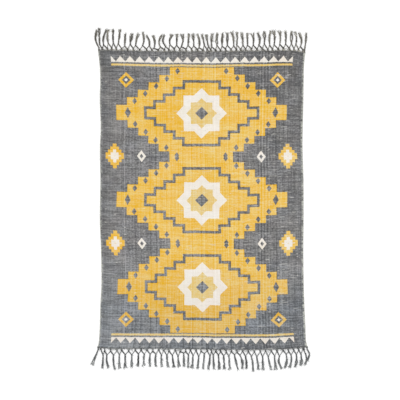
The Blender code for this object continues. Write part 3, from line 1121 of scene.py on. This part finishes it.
@dataclass
class Selvedge:
    """A woven side, where each weft thread turns round the last warp thread and goes back in."""

    outline: Outline
    side: Edge
    pitch: float = 0.0048
    radius: float = 0.00095
    reach: float = 0.0007
    stray: float = 0.0003
    depth: float = 0.0022
    sunk: float = 0.4
    """How much of its radius each turn is drawn in by."""
    margin: float = 0.004
    turn_share: float = 0.26
    """Half of how much of the pitch a turn takes up."""
    middle_z: float = 0.0020
    rise: float = 0.0010
    stray_z: float = 0.00015
    steps: int = 9
    seed: int = 5

    def strands(self) -> Strands:
        """The turns of the weft.

        Returns:
            One short yarn for each turn.
        """
        chance = np.random.default_rng(self.seed + self.side.column)
        count = int((self.outline.length - self.margin) / self.pitch)
        along = (np.arange(count) - (count - 1) / 2) * self.pitch
        turn = np.linspace(-1.0, 1.0, self.steps) * (0.5 * math.pi)
        out = self.reach + chance.uniform(-self.stray, self.stray, (count, 1))
        flat_y = along[:, None] + np.sin(turn) * self.pitch * self.turn_share
        full = flat_y.shape
        x, y = self.outline.lie(np.full(full, self.side.way * self.outline.waist / 2), flat_y)
        x = x + self.side.way * (np.cos(turn) * (out + self.depth) - self.depth - self.radius * self.sunk)
        z = self.middle_z + np.sin(turn) * self.rise
        z = z + chance.uniform(-self.stray_z, self.stray_z, (count, 1))
        paths = np.stack([x, y, np.maximum(z, self.radius)], axis=-1)
        tint = chance.uniform(-1.0, 1.0, count)
        bare = np.full(full, 0.55) + chance.uniform(-0.2, 0.2, (count, 1))
        return Strands(paths, np.full(full, self.radius), tint, bare)


@dataclass
class LastPick:
    """The last weft thread at an end, which passes over and under the warp threads."""

    outline: Outline
    end: Edge
    pitch: float = 0.0055
    radius: float = 0.0011
    middle_z: float = 0.0019
    rise: float = 0.00075
    inset: float = 0.002
    set_back: float = 0.0002
    steps_a_wave: int = 8

    def strands(self) -> Strands:
        """The thread.

        Returns:
            One long yarn.
        """
        corner_y = self.end.way * self.outline.length / 2
        left = self.outline.side_x(corner_y, Edge.LEFT) + self.inset
        right = self.outline.side_x(corner_y, Edge.RIGHT) - self.inset
        x = np.linspace(left, right, int((right - left) / self.pitch * self.steps_a_wave))
        y = self.end.way * (self.outline.end_out(x, self.end) - self.set_back)
        z = self.middle_z + self.rise * np.sin((x - x[0]) * 2 * math.pi / self.pitch)
        bare = 0.12 + 0.1 * np.sin(x * 61.0) + 0.06 * np.sin(x * 173.0)
        paths = np.stack([x, y, z], axis=-1)[None]
        return Strands(paths, np.full((1, len(x)), self.radius), np.zeros(1), bare[None])


@dataclass
class Fringe:
    """One end's knotted fringe, laid out with its tassels pointing up the page, then put in place.

    Eight warp ends gather to each head. Five leave it to the left and three to the right, and meet
    those of the neighbouring heads in a second row of knots, which the tassels hang from. Tassel i and
    its strand k are counted from the left, with the five in its thick leg first. All points below are
    in the layout, unless they are said to be placed.
    """

    outline: Outline
    end: Edge
    seed: int
    knot_out: float
    slant: float
    """How far to the right of its head each thick leg runs into the cloth."""
    head_shift: float
    """How far to the right of the middle between its two knots each head lies."""
    corner_inset: float = 0.0040
    fan_half: float = 0.0065
    fan_depth: float = 0.0035
    foot_inset: float = 0.0045
    thick_stray: float = 0.0030
    thin_stray: float = 0.0018
    thin_slant: float = 0.35
    thin_shift: float = 0.0020
    open_share: float = 0.35
    piece_gap: float = 0.0003
    head_out: float = 0.0080
    head_depth: float = 0.0018
    head_stray: Pair = (0.0016, 0.0024)
    knot_stray: float = 0.0020
    knot_depth: float = 0.0026
    lean_curve: float = 1.3
    straight_share: float = 0.2
    """How much of a warp end's way to its head runs straight out of the cloth."""
    over_z: float = 0.0031
    under_z: float = 0.0010
    """How high a warp end leaves the cloth, over the last weft thread and under it."""
    head_z: float = 0.0030
    leg_sag: float = 0.0011
    thick_reach: float = 0.00205
    thin_reach: float = 0.00105
    twist: Pair = (0.9, 0.060)
    """How many times a strand goes round its tassel, and over what length."""
    twist_step: float = 1.7
    """How far each tassel's twist is turned from the last one's."""
    wander: float = 0.00028
    gather: Pair = (0.4, 0.003)
    """How much closer a strand keeps to its line where it has parted, and how far off that is in full."""
    yarns: int = 8
    thick: int = 5
    inner_yarns: tuple[int, ...] = (3, 6)
    inner_ring: float = 0.4
    fan_steps: int = 5
    leg_steps: int = 7
    tassel_steps: int = 20
    hair_steps: int = 7
    wrap_steps: int = 44
    wrap_turns: float = 2.6
    wrap_end_radius: float = 0.0006
    head_way: Pair = (-0.55, 1.0)
    """The way that the yarns run through a head."""
    head_swing: float = 0.0005
    head_wrap: Triple = (0.0035, 0.00215, 0.0052)
    knot_wrap: Triple = (0.0023, 0.0019, 0.0042)
    """Half the width and half the height, both to the middle of the yarn, and the length."""
    warp_radius: float = 0.00070
    head_radius: float = 0.00095
    thick_radius: float = 0.00106
    thin_radius: float = 0.00080
    yarn_radius: float = 0.00105
    radius_swing: Pair = (0.85, 1.08)
    tip_stray: Pair = (-0.0045, 0.0012)
    tuft: int = 3
    tuft_depth: float = 0.0018
    fluff_each: Pair = (12, 20)
    fluff_extra: int = 25
    """How many more fibres a tassel has where it is as frizzy as can be."""
    lint_each: tuple[int, ...] = (3, 8, 34)
    lint_shares: Triple = (0.45, 0.25, 0.3)
    """How many bits of lint lie at a tassel, and how often each number comes up."""
    ravel_each: int = 26
    fibre_lift: float = 0.0012
    fibre_z: Pair = (0.0003, 0.0055)
    sections: Rows = (
        # share of the tassel, half its width and its height in mm
        (0.00, 2.5, 4.2), (0.07, 2.6, 4.6), (0.17, 3.1, 4.7),
        (0.45, 3.9, 5.1), (0.78, 4.5, 4.6), (1.00, 4.5, 3.4),
    )

    def __post_init__(self) -> None:
        """Places the knots and heads as the part's source does."""
        way = self.end.way
        corner_y = way * self.outline.length / 2
        sides = (self.outline.side_x(corner_y, side) for side in (Edge.LEFT, Edge.RIGHT))
        self.left, self.right = sorted(way * x for x in sides)
        self.tassels = len(KNOTS[self.end])
        self.last = self.tassels - 1
        chance = random.Random(self.seed)
        self.knots = [self.knot(i, chance) for i in range(self.tassels)]
        clear = 2 * self.corner_inset + self.fan_half + self.piece_gap
        middles = [(a[0] + b[0]) / 2 for a, b in zip(self.knots, self.knots[1:])]
        self.heads = np.clip(middles, self.left + clear, self.right - clear)
        self.partings = {i: (Parting.NONE, 0, 1, 0, 0, 0) for i in range(self.tassels)}
        for how, rows in LOOSE[self.end].items():
            self.partings |= {row[0]: (how, *row[1:]) for row in rows}
        self.chance = np.random.default_rng(self.seed)
        self.stray = np.clip(self.chance.normal(0.0, 1.0, (self.last, 3)), -1.7, 1.7)
        opened = self.chance.uniform(0.0, 1.0, self.last) < self.open_share
        self.spreads = [Spread.OPEN if is_open else Spread.CLOSE for is_open in opened]
        self.tones = self.chance.normal(-0.05, 0.65, self.tassels)
        self.swells = self.chance.uniform((0.0, 0.7, 0.0), (0.24, 1.8, 1.0), (self.tassels, 3))

    def heading_y(self, x: Array | float) -> Array:
        """Where the cloth ends at those places along the end."""
        return self.outline.end_out(self.end.way * np.asarray(x), self.end)

    def row(self, i: int, column: int) -> float:
        """A column of the tassels' table for tassel i, in metres."""
        return straight_between(TASSELS[self.end], i, column) * MM

    def section(self, share: Array, column: int) -> Array:
        """A column of the sections' table at those shares of a tassel, in metres."""
        return straight_between(self.sections, share, column) * MM

    def knot(self, i: int, chance: random.Random) -> Pair:
        """Where tassel i starts.

        Args:
            i: The tassel.
            chance: Where its stray comes from.

        Returns:
            Its x and y.
        """
        first, end = self.left + self.corner_inset, self.right - self.corner_inset
        x = first + (end - first) * i / self.last + self.row(i, 1)
        out = self.knot_out + chance.uniform(-self.knot_stray, self.knot_stray) + KNOTS[self.end][i] * MM
        return x, self.heading_y(x) + (self.head_out if i in (0, self.last) else out)

    def tassel_length(self, i: int) -> float:
        """How long tassel i is from its knot to its tip."""
        x, y = self.knots[i]
        return self.heading_y(x) + self.row(i, 4) - y

    def middle(self, i: int, share: Array) -> Array:
        """Points down the middle of tassel i.

        Args:
            i: The tassel.
            share: How far down it each point is.

        Returns:
            Their x and y.
        """
        x, y = self.knots[i]
        bend = self.row(i, 2) * np.sin(math.pi * share)
        lean = self.row(i, 3) * np.maximum(share, 0.0) ** self.lean_curve
        return np.stack([x + bend + lean, y + self.tassel_length(i) * share], axis=-1)

    def head_of(self, i: int, k: int) -> int:
        """The head that strand k of tassel i comes from."""
        return min(i if k < self.thick else max(i - 1, 0), self.last - 1)

    def foot(self, i: int, k: int) -> float:
        """Where strand k of tassel i leaves the cloth.

        Args:
            i: The tassel.
            k: The strand.

        Returns:
            Its x.
        """
        if i in (0, self.last):
            start = self.left if i == 0 else self.right - 2 * self.corner_inset
            return start + 2 * self.corner_inset * (k + 0.5) / self.yarns
        head = self.head_of(i, k)
        spread = self.spreads[head]
        if k < self.thick:
            lean = self.slant * spread.slant + self.stray[head, 0] * self.thick_stray
            lean += (k - (self.thick - 1) / 2) * spread.thick_gap
        else:
            lean = self.slant * self.thin_slant - self.thin_shift + self.stray[head, 1] * self.thin_stray
            lean += (k - self.thick - 1) * spread.thin_gap
        return np.clip(self.heads[head] + lean, self.left + self.foot_inset, self.right - self.foot_inset)

    def head_middle(self, j: int) -> Pair:
        """The middle of head j."""
        x = self.heads[j] + self.head_shift + self.stray[j, 1] * self.head_stray[0]
        return x, self.heading_y(x) + self.head_out + self.head_depth + self.stray[j, 2] * self.head_stray[1]

    def knot_middle(self, i: int) -> Pair:
        """The middle of tassel i's own knot."""
        return tuple(self.middle(i, self.knot_depth / self.tassel_length(i)))

    def fan(self, foot: float, head: Pair, over: bool) -> Array:
        """A warp end from inside the cloth to its head.

        Args:
            foot: Where it leaves the cloth.
            head: The head's middle.
            over: Whether it leaves over the last weft thread or under it.

        Returns:
            Its points.
        """
        share = np.linspace(0.0, 1.0, self.fan_steps)
        y0 = self.heading_y(foot) - self.fan_depth
        z0 = self.over_z if over else self.under_z
        drawn = np.clip((share - self.straight_share) / (1 - self.straight_share), 0.0, 1.0) ** 1.1
        z = z0 + (self.head_z - z0) * share**1.5
        return np.stack([foot + (head[0] - foot) * drawn, y0 + (head[1] - y0) * share, z], axis=-1)

    def leg(self, start: Pair, end: Pair, k: int) -> Array:
        """Strand k of a leg, between its head and its knot.

        Args:
            start: The head's middle.
            end: The knot's middle.
            k: The strand.

        Returns:
            Its points, without the first.
        """
        count, reach = self.thick, self.thick_reach
        if k >= self.thick:
            count, reach = self.yarns - self.thick, self.thin_reach
        angle = 2 * math.pi * k / count + 0.4
        share = np.linspace(0.0, 1.0, self.leg_steps + 1)[1:, None]
        open_share = np.sin(math.pi * share)
        along = np.subtract(end, start)
        flat = start + along * share + unit(rightwards(along)) * (reach * math.cos(angle) * open_share)
        z = self.head_z - self.leg_sag * open_share + 0.75 * reach * math.sin(angle) * open_share
        return raised(flat, z[:, 0])

    def parted(self, i: int, k: int, share: Array) -> Array:
        """How far strand k of tassel i has left its place, to the right.

        Args:
            i: The tassel.
            k: The strand.
            share: How far down the tassel each point is.

        Returns:
            The distances in metres.
        """
        how, start, end, reach = self.partings[i][:4]
        progress = np.clip((share - start) / (end - start), 0.0, 1.0)
        way = 1 if k % 2 else -1
        if how is Parting.LOOP:
            return way * reach * MM * np.sin(math.pi * progress)
        if how is Parting.FLARE:
            way = (k + 0.5) / self.yarns * 2 - 1
        return way * reach * MM * progress**1.1

    def hanging(self, i: int, k: int) -> Array:
        """Strand k of tassel i below its knot.

        Args:
            i: The tassel.
            k: The strand.

        Returns:
            Its points.
        """
        length = self.tassel_length(i)
        short = self.chance.uniform(*self.tip_stray) / length
        share = np.linspace(self.knot_depth / length, 1.0 + short, self.tassel_steps + 1)[1:]
        half = self.section(share, 1) * (1.0 + self.swell(i, share)) - self.yarn_radius
        rise = self.section(share, 2) / 2 - self.yarn_radius
        turns = self.twist[0] * length / self.twist[1]
        ring = self.inner_ring if k in self.inner_yarns else 1.0
        angle = 2 * math.pi * (k / self.yarns + turns * share)
        angle = angle + i * self.twist_step + self.chance.normal(0.0, 0.25)
        apart = self.parted(i, k, share)
        gathered = 1.0 - self.gather[0] * np.clip(np.abs(apart) / self.gather[1], 0.0, 1.0)
        wander = np.cumsum(self.chance.normal(0.0, self.wander, share.shape))
        wander *= np.clip(share * 1.4, 0.0, 1.0)
        sideways = ring * half * gathered * np.cos(angle) + apart + wander
        up = rise + self.yarn_radius + ring * rise * np.sin(angle)
        line = self.middle(i, share)
        flat = line + rightwards(unit(np.gradient(line, axis=0))) * sideways[:, None]
        return raised(flat, np.maximum(up, self.yarn_radius))

    def swell(self, i: int, share: Array) -> Array:
        """How much fuller tassel i is than its section at each share of its length."""
        amount, waves, start = self.swells[i]
        return amount * np.sin(2 * math.pi * (waves * share + start))

    def frayed(self, i: int) -> float:
        """How frayed tassel i is, from 0 to 1."""
        shares = {Parting.FLARE: 0.8, Parting.FORK: 0.5, Parting.LOOP: 0.4, Parting.NONE: 0.15}
        return shares[self.partings[i][0]]

    def strands(self) -> Strands:
        """Every warp end, from the cloth through its head, leg and knot to the tassel's tip.

        Returns:
            The yarns.
        """
        rows = []
        for i in range(self.tassels):
            for k in range(self.yarns):
                knot = self.knot_middle(i)
                if i in (0, self.last):
                    fan = self.fan(self.foot(i, k), knot, (k + i) % 2 == 0)
                    share = np.linspace(0.0, 1.0, self.leg_steps + 2)[1:-1, None]
                    parts = [fan[:1], fan[0] + (fan[1] - fan[0]) * share, fan[1:]]
                else:
                    head = self.head_middle(self.head_of(i, k))
                    parts = [self.fan(self.foot(i, k), head, (k + i) % 2 == 0), self.leg(head, knot, k)]
                path = np.concatenate([*parts, self.hanging(i, k)])
                radii, bare = self.profiles(i, k)
                radii = radii * self.chance.uniform(*self.radius_swing)
                bare = bare + self.chance.choice([0.0, 0.0, 0.04, 0.30])
                rows.append((path, radii, self.tones[i] + self.chance.uniform(-1.0, 1.0), bare))
        paths, radii, tint, bare = (np.array(column) for column in zip(*rows))
        paths[:, 1:-1] = 0.25 * paths[:, :-2] + 0.5 * paths[:, 1:-1] + 0.25 * paths[:, 2:]
        paths[:, :, 2] = np.maximum(paths[:, :, 2], radii)
        return Strands(self.placed(paths), radii, tint, bare)

    def profiles(self, i: int, k: int) -> Array:
        """How strand k of tassel i changes from its fan through its leg to its tip.

        Args:
            i: The tassel.
            k: The strand.

        Returns:
            Its radii, and how much undyed cotton shows on it.
        """
        share = np.linspace(0.0, 1.0, self.tassel_steps)
        thinned = 0.9 + 0.15 * share - (0.30 + 0.35 * self.frayed(i)) * share**7
        bare = 0.05 + (0.10 + 0.35 * self.frayed(i)) * share**3 + 0.22 * self.swell(i, share)
        fans = ((self.warp_radius, self.head_radius), self.spreads[self.head_of(i, k)].bare)
        legs = (self.thick_radius, 0.04) if k < self.thick else (self.thin_radius, 0.15)
        tails = (self.yarn_radius * thinned, bare)
        fans = [np.linspace(*fan, self.fan_steps) for fan in fans]
        parts = zip(fans, legs, tails)
        return np.array([[*fan, *[leg] * self.leg_steps, *tail] for fan, leg, tail in parts])

    def placed(self, points: Array) -> Array:
        """Points of the layout in the rug's own frame."""
        return points * (self.end.way, self.end.way, 1.0)

    def wraps(self) -> Strands:
        """The turns of yarn that make the heads and the second knots.

        Returns:
            One short coil for each.
        """
        paths = []
        half, *others = self.head_wrap
        for j in range(self.last):
            sizes = (half + self.head_swing * self.stray[j, 1], *others)
            paths.append(self.wrap(self.head_middle(j), np.array(self.head_way), sizes))
        for i in range(self.tassels):
            ahead = self.middle(i, 0.08) - self.middle(i, 0.0)
            paths.append(self.wrap(self.knot_middle(i), ahead, self.knot_wrap))
        path = np.array(paths)
        radii = np.full(path.shape[:2], self.yarn_radius)
        radii[:, [0, -1]] = self.wrap_end_radius
        tint = self.chance.uniform(-0.9, 0.3, len(paths))
        return Strands(self.placed(path), radii, tint, np.full(radii.shape, 0.04), axis=(0.0, 1.0, 0.0))

    def wrap(self, middle: Pair, ahead: Array, sizes: Triple) -> Array:
        """A short coil round a bundle.

        Args:
            middle: Its middle.
            ahead: The way that the bundle runs.
            sizes: Half its width and half its height, both to the middle of the yarn, and its length.

        Returns:
            Its points.
        """
        half, rise, length = sizes
        ahead = unit(ahead)
        share = np.linspace(-0.5, 0.5, self.wrap_steps)
        angle = self.chance.uniform(0.0, 2 * math.pi) + share * self.wrap_turns * 2 * math.pi
        shrink = 1.0 - 0.35 * np.abs(share * 2) ** 4
        flat = middle + np.outer(share * length + 0.0008 * np.cos(angle), ahead)
        flat += np.outer(half * shrink * np.cos(angle), rightwards(ahead))
        return raised(flat, rise + self.yarn_radius + rise * shrink * np.sin(angle))

    def curls(self, kind: Fibre, starts: Array, heading: Array) -> Array:
        """Fine curling fibres.

        Args:
            kind: What they are.
            starts: Where each starts.
            heading: Which way each sets off, as an angle to the right of straight up the page.

        Returns:
            Their points.
        """
        one_each = (len(starts), 1)
        share = np.linspace(0.0, 1.0, self.hair_steps)
        turn = self.chance.normal(0.0, kind.curl, one_each) * share
        turn = turn + self.chance.normal(0.0, 0.5 * kind.curl, one_each) * np.sin(2 * math.pi * share)
        angle = heading[:, None] + turn
        shortest, longest = kind.lengths
        reach = shortest + (longest - shortest) * self.chance.uniform(0.0, 1.0, one_each) ** 2
        step = reach / (self.hair_steps - 1)
        run = np.stack([np.sin(angle) * step, np.cos(angle) * step], axis=-1)
        run[:, 0] = 0.0
        lift = self.chance.normal(0.0, self.fibre_lift, one_each) * share
        z = np.clip(starts[:, 2:] + lift, *self.fibre_z)
        return raised(starts[:, None, :2] + np.cumsum(run, axis=1), z)

    def tufts(self, ends: Array) -> Array:
        """The fibres at the tips of the yarns.

        Args:
            ends: The tips.

        Returns:
            Their points.
        """
        starts = np.repeat(ends, self.tuft, axis=0) - (0.0, self.tuft_depth, 0.0)
        return self.curls(Fibre.TUFT, starts, self.chance.normal(0.0, 0.65, len(starts)))

    def fluff(self) -> Array:
        """Loose fibres down the sides of the tassels.

        Returns:
            Their points.
        """
        starts, heading = [], []
        for i in range(self.tassels):
            _, low, high, _, frizz, side = self.partings[i]
            count, extra = int(self.chance.uniform(*self.fluff_each)), int(self.fluff_extra * frizz)
            spans = ((0.03, 1.0, count), (low, high, extra))
            share = np.concatenate([self.chance.uniform(*span) for span in spans])
            way = self.chance.choice([-1.0, 1.0], count + extra)
            if side:
                way[count:] = side
            off = way * self.section(share, 1) * self.chance.uniform(0.3, 1.0, len(share))
            flat = self.middle(i, share) + np.stack([off, np.zeros(len(share))], axis=-1)
            starts.append(raised(flat, self.chance.uniform(0.0005, 0.0045, len(share))))
            heading.append(way * self.chance.uniform(0.0, 1.7, len(share)))
        return self.curls(Fibre.FLUFF, np.concatenate(starts), np.concatenate(heading))

    def lint(self) -> Array:
        """Fibres between the legs, from the cloth's end, thick in some places.

        Returns:
            Their points.
        """
        amount = self.chance.choice(self.lint_each, self.tassels, p=self.lint_shares)
        place = np.repeat(np.arange(self.tassels), amount) + self.chance.normal(0.5, 0.32, amount.sum())
        x = self.left + (self.right - self.left) * np.clip(place / self.tassels, 0.004, 0.996)
        starts = self.past_end(x, out=(-0.0015, 0.0120), rise=(0.0005, 0.0030))
        return self.curls(Fibre.LINT, starts, self.chance.normal(0.0, 0.9, len(x)))

    def ravel(self) -> Array:
        """Short fibres and bits of weft all along the cloth's end.

        Returns:
            Their points.
        """
        x = self.chance.uniform(self.left + 0.002, self.right - 0.002, self.ravel_each * self.tassels)
        starts = self.past_end(x, out=(-0.0005, 0.0044), rise=(0.0010, 0.0032))
        return self.curls(Fibre.RAVEL, starts, self.chance.normal(0.0, 1.2, len(x)))

    def past_end(self, x: Array, out: Pair, rise: Pair) -> Array:
        """Points at x, each a little past the cloth's end and a little up, within those limits."""
        y = self.heading_y(x) + self.chance.uniform(*out, len(x))
        return np.stack([x, y, self.chance.uniform(*rise, len(x))], axis=-1)

    def hairs(self, ends: Array) -> Strands:
        """The frayed tips, the fluff on the tassels and the lint between the legs.

        Args:
            ends: The last points of the yarns, placed.

        Returns:
            The fibres.
        """
        kinds = {
            Fibre.TUFT: self.tufts(self.placed(ends)),
            Fibre.FLUFF: self.fluff(),
            Fibre.LINT: self.lint(),
            Fibre.RAVEL: self.ravel(),
        }
        taper = np.linspace(1.0, 0.4, self.hair_steps)
        paths = np.concatenate(list(kinds.values()))
        radii = [np.tile(kind.radius * taper, (len(each), 1)) for kind, each in kinds.items()]
        bare = [self.chance.uniform(*kind.bare, (len(each), 1)) for kind, each in kinds.items()]
        tint = self.chance.uniform(-0.6, 1.0, len(paths))
        bare = np.repeat(np.concatenate(bare), self.hair_steps, axis=1)
        return Strands(self.placed(paths), np.concatenate(radii), tint, bare)

    def pieces(self, yarn: bpy.types.Material) -> list[bpy.types.Object]:
        """Makes the fringe's pieces.

        Args:
            yarn: Their finish.

        Returns:
            The new pieces.
        """
        node = f"fringe_{self.end.value}"
        strands = self.strands()
        pieces = [
            strands.shape(sides=6).piece(f"{node}_yarns", yarn, YARN_SLOT),
            self.wraps().shape(sides=6).piece(f"{node}_knots", yarn, YARN_SLOT),
            self.hairs(strands.paths[:, -1]).shape(sides=3).piece(f"{node}_hairs", yarn, YARN_SLOT),
        ]
        for piece in pieces:
            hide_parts(node)
        return pieces


@dataclass
class Studio:
    """The floor, light and camera."""

    floor_radius: float = 25.0
    floor_paint: Colour = (0.95, 0.95, 0.95)
    floor_glow: float = 0.12
    floor_drop: float = 0.0002
    view_width: float = 1.745
    view_z: float = 0.002
    """How high over the floor the view is that wide."""
    view_middle: Pair = (-0.0083, -0.0022)
    lens: float = 100.0
    sensor: float = 36.0
    white: Colour = (1.0, 1.0, 1.0)
    sky: float = 0.84
    sun: float = 0.95
    sun_softness: float = 25.0
    sun_turn: Triple = (-28.0, -30.0, 0.0)

    def build(self) -> None:
        """Sets up all three."""
        self.add_floor()
        self.add_light()
        self.add_camera()
        bpy.context.scene.view_settings.view_transform = "Standard"

    def add_floor(self) -> None:
        """Lays a plain pale floor just under the rug."""
        mesh = bpy.data.meshes.new("floor")
        corners = ((-1, -1), (1, -1), (1, 1), (-1, 1))
        points = [(x * self.floor_radius, y * self.floor_radius, 0) for x, y in corners]
        mesh.from_pydata(points, [], [range(4)])
        finish, board = new_finish("floor_paint")
        look = {
            "Base Color": self.floor_paint,
            "Roughness": 1.0,
            "Specular IOR Level": 0.0,
            "Emission Color": self.white,
            "Emission Strength": self.floor_glow,
        }
        board.dress(look)
        mesh.materials.append(finish)
        floor = shown("floor", mesh)
        floor.location.z = -self.floor_drop

    def add_light(self) -> None:
        """Lights the rug evenly from all round, and softly from the upper left."""
        world = bpy.data.worlds.new("studio")
        world.use_nodes = True
        sky = {"Color": self.white, "Strength": self.sky}
        Board(world.node_tree).feed(world.node_tree.nodes["Background"], sky)
        bpy.context.scene.world = world
        lamp = bpy.data.lights.new("key", "SUN")
        lamp.energy = self.sun
        lamp.angle = math.radians(self.sun_softness)
        shown("key", lamp).rotation_euler = tuple(math.radians(turn) for turn in self.sun_turn)

    def add_camera(self) -> None:
        """Hangs the camera straight over the rug, far end up, with a long lens."""
        view = bpy.data.cameras.new("camera")
        view.lens = self.lens
        view.sensor_width = self.sensor
        camera = shown("camera", view)
        camera.location = (*self.view_middle, self.view_width * self.lens / self.sensor + self.view_z)
        bpy.context.scene.camera = camera


def main() -> None:
    """Builds the rug's looks, piece by piece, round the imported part."""
    logging.basicConfig(level=logging.INFO, format="%(message)s")
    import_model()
    effects = Effects()
    printed = PrintedCotton().build(effects)
    far_yarn = YarnFinish("far_yarn", srgb(80, 78, 74), srgb(206, 201, 186), pitch=0.0065).build(effects)
    near_yarn = YarnFinish("near_yarn", srgb(76, 79, 81), srgb(200, 203, 201), pitch=0.0065).build(effects)
    weft = YarnFinish("weft_yarn", srgb(112, 111, 110), srgb(212, 210, 199), pitch=0.0055).build(effects)

    outline = Outline()
    cloth = Cloth(outline).shape().piece("cloth_sheet", printed, CLOTH_SLOT)
    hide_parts("cloth")
    threads = {f"selvedge_{side.value}": Selvedge(outline, side) for side in (Edge.LEFT, Edge.RIGHT)}
    threads |= {f"last_pick_{end.value}": LastPick(outline, end) for end in (Edge.FAR, Edge.NEAR)}
    tubes = {name: thread.strands().shape(sides=6) for name, thread in threads.items()}
    trims = [tube.piece(name, weft, CLOTH_SLOT) for name, tube in tubes.items()]
    far = Fringe(outline, Edge.FAR, seed=7, knot_out=0.0230, slant=0.0115, head_shift=0.0030)
    near = Fringe(outline, Edge.NEAR, seed=19, knot_out=0.0255, slant=0.0045, head_shift=0.0)
    trims += far.pieces(far_yarn) + near.pieces(near_yarn)

    Studio().build()


if __name__ == "__main__":
    main()
